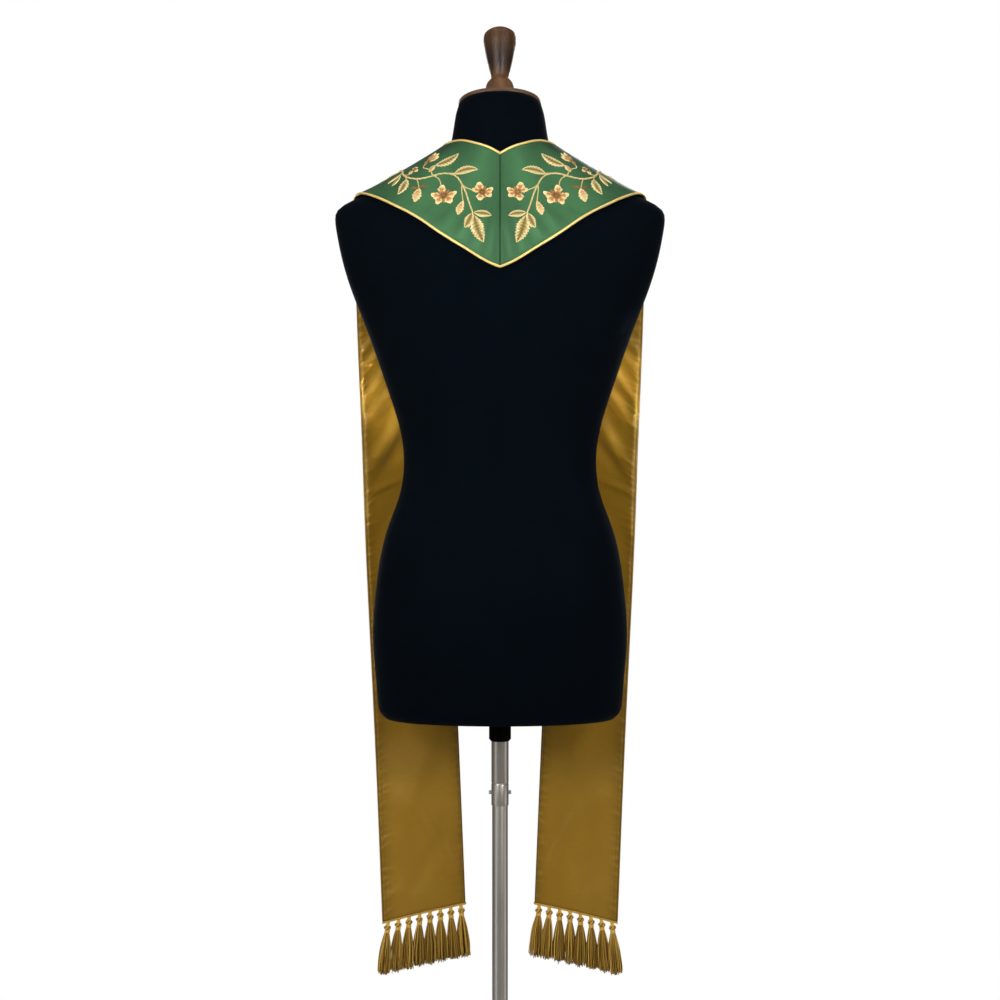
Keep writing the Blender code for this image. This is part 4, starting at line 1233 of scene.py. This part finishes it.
# %% From the flat cut to the worn cloth
def band_place(flat):
    """Run and share of points on the flat cut. The ruled lines sweep over the cut as run grows, so the
    line through a point is found by halving: the point is on one side of all the lines before it."""
    low, high = np.zeros(flat.shape[:-1]), np.full(flat.shape[:-1], 0.45)
    for _ in range(26):
        run = (low + high) / 2
        neck, outer = flat_place(run, np.zeros_like(run)), flat_place(run, np.ones_like(run))
        line, out = outer - neck, flat - neck
        ahead = line[..., 0] * out[..., 1] - line[..., 1] * out[..., 0] > 0
        low, high = np.where(ahead, run, low), np.where(ahead, high, run)
    return run, (line * out).sum(axis=-1) / (line * line).sum(axis=-1)


def on_collar(flat, height, side):
    """Points of the flat cut on the worn face of the left half, at a height above it."""
    run, share = band_place(flat * MM)
    place, normal = band_frame(run, share)
    return place + normal * (face_height(run, share, side) + height * MM)[..., None], normal


corner = np.array([[60.0, -60.0], [20.0, -100.0]])
run, share = band_place(corner * MM)
print("round trip to the cut and back:", np.round(flat_place(run, share) / MM - corner, 3).tolist())

# %% Threads
CREAM, PALE = np.array([0.92, 0.78, 0.42]), np.array([0.66, 0.48, 0.165])
GOLD, OLIVE = np.array([0.42, 0.275, 0.070]), np.array([0.120, 0.092, 0.014])
CHAMPAGNE, COPPER = np.array([0.80, 0.55, 0.27]), np.array([0.40, 0.170, 0.050])
RUST = np.array([0.160, 0.062, 0.018])
THREAD_WIDTH = 0.62  # millimetres from one stitch to the next


def between(factor, first, second):
    """Colours from first to second; factor may be an array."""
    return first + (second - first) * np.clip(factor, 0, 1)[..., None]


def embroidery_thread():
    """Shiny thread laid in close stitches: the ridges run across each shape, aslant from its middle. Its
    colour
    is painted light: lighter along each stitch's ridge, and a few stitches painted darker as if they catch
    less light. The uv is millimetres along a shape, and -1 to 1 across it."""
    thread = Finish("gold thread")
    along, across, _ = thread.place()
    slant = along + across.size() * -1.6
    stitch = (slant * (TURN / THREAD_WIDTH)).sine() * 0.5 + 0.5
    odd = thread.noise(slant * 1.6, across * 0.8, detail=2.0)
    lit = ((odd - 0.5) * 1.5 + stitch * 0.35 + 0.42).clamp()
    shade = thread.blend(lit, (0.50, 0.44, 0.36), (1.12, 1.10, 1.06))
    return thread.set(Base_Color=thread.tinted(shade), Roughness=0.40,
                      Normal=thread.bump(stitch, 0.16 * MM, 0.8), Specular_IOR_Level=0.6,
                      Specular_Tint=GOLD_SHINE)


# %% [markdown]
# ## Leaves, petals and stems
# A leaf is a padded shape: closed loops carried along its bent middle line, wide in the middle and
# pointed at both ends, high along the middle of each half and sunk at the vein, with its edge cut into
# forward teeth. A petal is the same with other widths and no teeth. Each has a fine couched cord round
# it, which keeps its outline crisp. A stem is two threads twisted together, as one round tube.

# %% One padded shape
LOOP, RIM_SIDES = 16, 5  # points round one cross-section, and round its outline cord
RIM_RADIUS, RIM_LIFT = 0.46, 0.22  # millimetres
RIM_ACROSS = 1.3  # the place across a shape that its outline takes its colour from


def middle_line(base, tip, bend, count):
    """A parabola from base to tip whose middle stands out to the left by bend times its length."""
    base, tip = np.asarray(base, float), np.asarray(tip, float)
    t = np.linspace(0, 1, count)[:, None]
    along = tip - base
    aside = np.array([-along[1], along[0]])
    line = base + along * t + aside * bend * 4 * t * (1 - t)
    return line, t[:, 0], unit(np.gradient(line, axis=0))


def padded_shape(base, tip, width, bend, side, colours, rows, belly=0.9, power=0.8, teeth=0, rise=1.3,
                 vein=0.55, loop=LOOP):
    """A padded shape with its couched outline, as two lofts. Its half width is a sine of the length to
    the power of belly, raised to power, and vein is how far its middle line is sunk."""
    line, t, along = middle_line(base, tip, bend, rows)
    aside = np.stack([-along[:, 1], along[:, 0]], axis=-1)
    half = width / 2 * np.maximum(np.sin(math.pi * t**belly), 0.03) ** power
    if teeth:
        saw = (t * teeth) % 1.0
        half = half * (1 + 0.55 * (saw - 0.5) * ease(t, 0.03, 0.15) * (1 - ease(t, 0.86, 0.97)))
    turn = np.linspace(0, TURN, loop, endpoint=False)
    across, up = np.cos(turn), np.sin(turn)
    flat = line[:, None] + aside[:, None] * (half[:, None] * across)[..., None]
    body = np.maximum(np.sin(math.pi * t), 0) ** 0.35
    sunk = vein * np.exp(-((across / 0.16) ** 2))
    top = (rise - sunk) * np.maximum(up, 0) ** 0.7
    height = body[:, None] * np.where(up >= 0, top, 0.35 * up) - 0.05
    points, _ = on_collar(flat, height, side)
    length = np.linalg.norm(line[-1] - line[0])
    uv = np.stack(np.broadcast_arrays(t[:, None] * length, across), axis=-1)
    tint = colours(np.broadcast_to(t[:, None], height.shape), np.broadcast_to(np.abs(across), height.shape))
    edge = np.concatenate([line + aside * half[:, None], (line - aside * half[:, None])[::-1]])
    rim, normal = on_collar(edge, np.full(len(edge), RIM_LIFT), side)
    rim_tube = tube(rim, normal, np.full(len(rim), RIM_RADIUS * MM), RIM_SIDES)
    rim_tint = colours(np.concatenate([t, t[::-1]])[:, None], np.full((len(edge), 1), RIM_ACROSS))
    rim_uv = tube_uv(rim, RIM_SIDES) * (1, 1 / MM)
    outline = Loft(rim_tube[None], rim_uv[None, ..., ::-1], rim_tint[None])
    return [Loft(points[None], uv[None], tint[None]), outline]


def leaf_colours(t, across):
    """An olive vein, slanted streaks of gold and olive between, and a cream edge."""
    streak = 0.5 + 0.5 * np.sin(t * 52 - across * 7)
    inner = between(streak * 0.60, OLIVE, GOLD * 1.2)
    vein = np.exp(-((across / 0.16) ** 2))
    shape = between(vein, inner, OLIVE * 0.7)
    edge = ease(across, 0.28, 0.66) * (0.40 + 0.60 * streak) + ease(across, 0.95, 1.2) * 0.4
    return between(edge, shape, CREAM)


def petal_colours(t, across):
    """Rust at the throat, copper beyond it, champagne towards a cream edge."""
    ray = 0.34 * np.sin(across * 15 + t * 9)
    deep = between((t - 0.12) / 0.22, RUST, COPPER)
    pale = between((t - 0.44 + ray) / 0.34, COPPER, CHAMPAGNE)
    shape = np.where((t < 0.34)[..., None], deep, pale)
    sides, tip = ease(across, 0.48, 0.84) * ease(t, 0.15, 0.40), ease(t, 0.74, 0.96)
    return between(0.8 * sides + 0.7 * tip, shape, CREAM)


def sepal_colours(t, across):
    """Rust and copper only: the short stitches that show between the petals."""
    return between(1.3 * t - 0.2 + 0.3 * np.sin(across * 12 + t * 9), RUST, COPPER * 1.15)


def bud_colours(t, across):
    """A gold calyx, a copper body with a pale cheek, and a gold point."""
    streak = 0.5 + 0.5 * np.sin(t * 34 - across * 5)
    body = between(0.9 * t - 0.1 + 0.5 * streak, COPPER * 0.7, CHAMPAGNE * 0.9)
    shape = between(1 - ease(t, 0.16, 0.30), body, PALE)
    return between(ease(across, 0.45, 0.80) * (0.45 + 0.55 * streak), shape, CREAM)


def bead_colours(t, across):
    """One tone halfway between rust and pale gold."""
    return between(0 * t + 0.55, RUST, PALE)


STEM_SIDES = 8
STEM_LIFT, STEM_TAPER = 0.25, 0.72  # millimetres, and how thick its end is against its start
TWIST_ROWS = 7  # rows from one ply to the next


def stem_loft(points, radius, side, colours=(GOLD, CREAM)):
    """A smooth stem of two twisted plies through a few points of the cut, thinner towards its end."""
    points = np.array(points, float)
    count = 6 + int(length_of(points))
    line = through(points, count)
    place, normal = on_collar(line, np.full(count, STEM_LIFT), side)
    stem = tube(place, normal, radius * MM * np.linspace(1.0, STEM_TAPER, count), STEM_SIDES)
    plies = 2 * np.arange(STEM_SIDES) / STEM_SIDES + np.arange(count)[:, None] / TWIST_ROWS
    tint = between(0.5 + 0.5 * np.cos(TURN * plies), *colours)
    uv = tube_uv(place, STEM_SIDES) * (2, 1 / MM)
    return Loft(stem[None], uv[None, ..., ::-1], tint[None])


# %% The drawing of the vine
Leaf = namedtuple("Leaf", "base tip width bend teeth")
LEAVES = [
    Leaf((32, -90), (20.5, -121), 14.0, 0.04, 10),
    Leaf((35, -88), (43.5, -104), 10.0, -0.06, 6),
    Leaf((32, -86), (11, -89.5), 8.6, -0.06, 8),
    Leaf((57, -25), (28, -22.5), 9.6, -0.10, 9),
    Leaf((82, -10), (53, 5), 9.6, 0.10, 9),
    Leaf((121, -24), (129.5, -49.5), 10.5, -0.08, 6),
    Leaf((134, -8), (147, -21), 5.0, 0.06, 0),
    Leaf((132, -10), (140, -30), 5.5, -0.06, 0),
    Leaf((166, 48), (148, 66), 10.0, 0.08, 8),
    Leaf((158, 40), (184, 38), 10.5, 0.10, 8),
    Leaf((182, 72), (204, 66), 10.0, 0.08, 8),
    Leaf((184, 78), (176, 100), 9.5, 0.06, 7),
    Leaf((186, 80), (200, 98), 9.0, -0.06, 7),
]
BUDS = [
    Leaf((46, -68), (52, -88), 8.0, 0.04, 5),
    Leaf((102, -44), (107, -63), 10.0, 0.00, 5),
    Leaf((90, -19), (83, -10), 6.0, 0.00, 0),
]
Flower = namedtuple("Flower", "p q turn fan petals length width")
FLOWERS = [
    Flower(71, -58, 88, 360, 5, 15.5, 8.6),
    Flower(22, -54.5, 12, 335, 5, 13.5, 7.8),
    Flower(96, 0, 138, 46, 3, 20.0, 6.6),
    Flower(112, -7, 95, 360, 3, 7.5, 6.0),
    Flower(160, 20, -30, 360, 5, 14.5, 8.2),
]
Stem = namedtuple("Stem", "radius points")
STEMS = [
    Stem(1.35, [(184, 76), (170, 56), (158, 38), (146, 24), (134, 8), (128, -9), (117, -22), (102, -28),
                (85, -26), (69, -23.5), (57, -27.5), (49, -39), (43.5, -54), (38, -72), (33, -89)]),
    Stem(0.85, [(84, -26), (77.5, -31), (74.5, -41), (73, -51)]),
    Stem(0.85, [(49, -40), (42, -48), (35, -51.5), (28, -54)]),
    Stem(0.75, [(48, -43), (48, -54), (47, -62), (46, -70)]),
    Stem(0.85, [(68, -23.5), (61, -24), (52, -25), (40, -24.5)]),
    Stem(0.80, [(85, -26), (87, -20), (88, -14), (82, -10), (70, -4)]),
    Stem(0.75, [(86, -18), (93, -13), (99, -8), (96, 0), (92, 5)]),
    Stem(0.75, [(125, -13), (121, -25), (124, -37)]),
    Stem(0.70, [(130, -3), (134, -9), (139, -16)]),
    Stem(0.70, [(127, -10), (122, -14), (117, -14), (114, -10)]),
    Stem(0.75, [(106, -27), (104, -34), (103, -40), (102, -45)]),
    Stem(0.75, [(146, 24), (151, 23), (156, 21)]),
]
CALYX_P, CALYX_Q = 102, -42  # where the hanging bud meets its stem
CALYX_HAIRS, HAIR_RADIUS = 17, 0.48

# %% Flowers, and the hairs of the calyx
PETAL_ROWS, SEPAL_ROWS, SEPAL_LOOP = 28, 14, 10
BEADS_ROUND, BEAD_HALF, BEAD_ROWS, BEAD_LOOP = 6, 0.6, 7, 8
SMALL_BLOOM = 10  # a flower with shorter petals than this shows no sepals
SIDE_VIEW = 300  # a flower whose petals fan out over fewer degrees than this is seen from its side


def heading(turn):
    return np.array([math.cos(turn), math.sin(turn)])


def bead_loft(middle, side):
    """A bead is a short, high padded shape, and has no outline."""
    half = np.array([BEAD_HALF, 0])
    return padded_shape(middle - half, middle + half, 2 * BEAD_HALF, 0, side, bead_colours, BEAD_ROWS,
                        belly=1.0, power=0.5, rise=2.2, vein=0, loop=BEAD_LOOP)[0]


def flower_lofts(flower, side):
    """Petals spread evenly over the fan, every other one laid a little lower, short sepals between them,
    and a knot of beads. Sines of the petal's number make each one a little different."""
    lofts = []
    middle = np.array([flower.p, flower.q], float)
    whole = flower.fan > SIDE_VIEW
    step = flower.fan / (flower.petals if whole else flower.petals - 1)
    start = flower.turn - (0 if whole else flower.fan / 2)
    for number in range(flower.petals):
        turn = math.radians(start + step * number)
        way, gap = heading(turn), heading(turn + math.radians(step / 2))
        bend = 0.14 * math.sin(3 * number + flower.q)
        reach = flower.length * (1 + 0.14 * math.sin(5 * number + flower.p))
        width = flower.width * (1 + 0.16 * math.cos(4 * number + flower.q))
        if flower.length > SMALL_BLOOM and (whole or number + 1 < flower.petals):
            lofts += padded_shape(
                middle + 1.5 * gap, middle + 0.70 * reach * gap, 0.55 * flower.width, 0, side, sepal_colours,
                SEPAL_ROWS, rise=0.9, vein=0.2, loop=SEPAL_LOOP)[:1]
        lofts += padded_shape(
            middle + 1.2 * way, middle + reach * way, width, bend, side, petal_colours, PETAL_ROWS,
            belly=1.25, power=0.72, teeth=3, rise=1.25 + 0.35 * (number % 2), vein=0.45)
    ring = [middle + 0.095 * flower.length * heading(TURN * i / BEADS_ROUND) for i in range(BEADS_ROUND)]
    return lofts + [bead_loft(bead, side) for bead in (*ring, middle)]


def calyx_lofts(side):
    """Short brown hairs that stand out to both sides, each with its own small lift."""
    lofts = []
    for number in range(CALYX_HAIRS):
        spread = (number / (CALYX_HAIRS - 1) - 0.5) * 2
        root = CALYX_P + 5 * spread, CALYX_Q - 1.2 + 1.1 * math.sin(7 * number)
        bent = CALYX_P + 8 * spread, CALYX_Q + 1.6 * math.cos(3 * number)
        end = CALYX_P + 12 * spread, CALYX_Q + 1 + 2.4 * math.sin(5 * number)
        lofts.append(stem_loft([root, bent, end], HAIR_RADIUS, side, (RUST * 0.8, COPPER * 0.9)))
    return lofts


# %% Both halves of the vine
LEAF_ROWS, PLAIN_ROWS = 56, 28  # with teeth and without
thread = embroidery_thread()
for side, half in HALVES:
    lofts = [stem_loft(stem.points, stem.radius, side) for stem in STEMS]
    for leaf in LEAVES:
        rows = LEAF_ROWS if leaf.teeth else PLAIN_ROWS
        lofts += padded_shape(leaf.base, leaf.tip, leaf.width, leaf.bend, side, leaf_colours, rows,
                              teeth=leaf.teeth)
    for bud in BUDS:
        lofts += padded_shape(bud.base, bud.tip, bud.width, bud.bend, side, bud_colours, PLAIN_ROWS,
                              belly=1.15, power=0.7, teeth=bud.teeth, rise=1.8, vein=0.3)
    lofts += calyx_lofts(side)
    for flower in FLOWERS:
        lofts += flower_lofts(flower, side)
    lofts = [loft._replace(points=loft.points * (side, 1, 1)) for loft in lofts]
    piece(f"gold_vine_{half}", lofts, thread)

# %% [markdown]
# ## How each sheet is held
# The four panels were flat before they were hung.

# %% [markdown]
# ## The room
# A plain pale floor and a white surround. Two large soft lights stand behind the form to the left and
# the right. Two with a grid over them add light beside the waist, and two narrow beams make the brightest
# folds of the lining there. Two low, weak ones at the sides put bands on the pole. One hangs above, and
# two light the front.

# %% Floor
FLOOR_RADIUS, FLOOR_LEVEL = 1.1, -0.5 * MM
FADE_START, FADE_END = 0.55, 1.08
floor_rings = np.linspace(MM, FLOOR_RADIUS, 30)[:, None]
floor_angle = np.linspace(0, TURN, 97)
floor_x, floor_y = floor_rings * np.cos(floor_angle), floor_rings * np.sin(floor_angle)
floor_points = np.stack([floor_x, floor_y, FLOOR_LEVEL + 0 * floor_x], axis=-1)
pale = Finish("pale floor")
x, y, _ = pale.place("Object")
reach = (x * x + y * y).power(0.5)
mottle = pale.noise(x * 30.0, y * 30.0, detail=4.0)
pale.set(Base_Color=pale.blend(mottle, (0.78, 0.78, 0.77), (0.84, 0.84, 0.83)), Roughness=0.6)
fade = ((reach - FADE_START) * (1 / (FADE_END - FADE_START))).clamp()
clear = pale.node("ShaderNodeBsdfTransparent")
both = pale.node("ShaderNodeMixShader", {}, {0: fade, 1: Value(pale, pale.shader.outputs[0]), 2: clear})
pale.plug(pale.tree.nodes["Material Output"].inputs["Surface"], both)
floor = piece("floor", [Loft(floor_points[None])], pale.material, closed=False)

# %% White surround
AS_LIGHT, AS_SEEN = 0.22, 1.0  # its strength on the object, and behind it
world = bpy.data.worlds.new("white room")
bpy.context.scene.world = world
world.use_nodes = True
nodes, links = world.node_tree.nodes, world.node_tree.links
seen = nodes.new("ShaderNodeLightPath")
strength = nodes.new("ShaderNodeMapRange")
strength.inputs["To Min"].default_value = AS_LIGHT
strength.inputs["To Max"].default_value = AS_SEEN
links.new(seen.outputs["Is Camera Ray"], strength.inputs["Value"])
background = nodes["Background"]
background.inputs["Color"].default_value = (1, 1, 1, 1)
links.new(strength.outputs["Result"], background.inputs["Strength"])

# %% Lamps
Lamp = namedtuple("Lamp", "name place size power aim spread", defaults=((0, 0, 1.05), 180))
LAMPS = [  # metres, watts and degrees
    Lamp("key", (2.0, 2.6, 2.0), 1.3, 50),
    Lamp("fill", (-1.8, 2.75, 1.7), 1.3, 42),
    Lamp("grid left", (1.0, 2.6, 1.9), 0.5, 1.2, (0.18, -0.05, 1.17), 28),
    Lamp("grid right", (-1.0, 2.6, 1.9), 0.5, 1.2, (-0.18, -0.05, 1.17), 28),
    Lamp("beam left", (1.0, 2.6, 1.9), 0.05, 0.044, (0.165, -0.11, 1.122), 3.2),
    Lamp("beam right", (-1.0, 2.6, 1.9), 0.05, 0.044, (-0.165, -0.11, 1.122), 3.2),
    Lamp("pole left", (2.3, 1.35, 0.02), 1.1, 0.30, (0, 0, 0.48), 40),
    Lamp("pole right", (-2.6, 0.35, 0.02), 1.1, 0.30, (0, 0, 0.48), 40),
    Lamp("top", (0.0, 0.5, 3.0), 1.4, 8),
    Lamp("front key", (-0.9, -2.9, 2.1), 1.3, 46),
    Lamp("front fill", (0.9, -2.9, 1.5), 1.3, 32),
]
for lamp in LAMPS:
    light = bpy.data.lights.new(lamp.name, "AREA")
    light.shape, light.size, light.energy = "SQUARE", lamp.size, lamp.power
    light.spread = math.radians(lamp.spread)
    made = bpy.data.objects.new(lamp.name, light)
    made.location = lamp.place
    bpy.context.scene.collection.objects.link(made)
    away = made.location - Vector(lamp.aim)
    made.rotation_euler = away.to_track_quat("Z", "Y").to_euler()

# %% Camera
EYE_DISTANCE, EYE_HEIGHT = 2.38, 0.98
LENS, SENSOR = 65.88, 36  # millimetres
camera = bpy.data.objects.new("camera", bpy.data.cameras.new("camera"))
camera.data.lens, camera.data.sensor_width = LENS, SENSOR
camera.location = (0, EYE_DISTANCE, EYE_HEIGHT)
camera.rotation_euler = (math.pi / 2, 0, math.pi)
bpy.context.scene.collection.objects.link(camera)
bpy.context.scene.camera = camera
bpy.context.scene.view_settings.view_transform = "Standard"
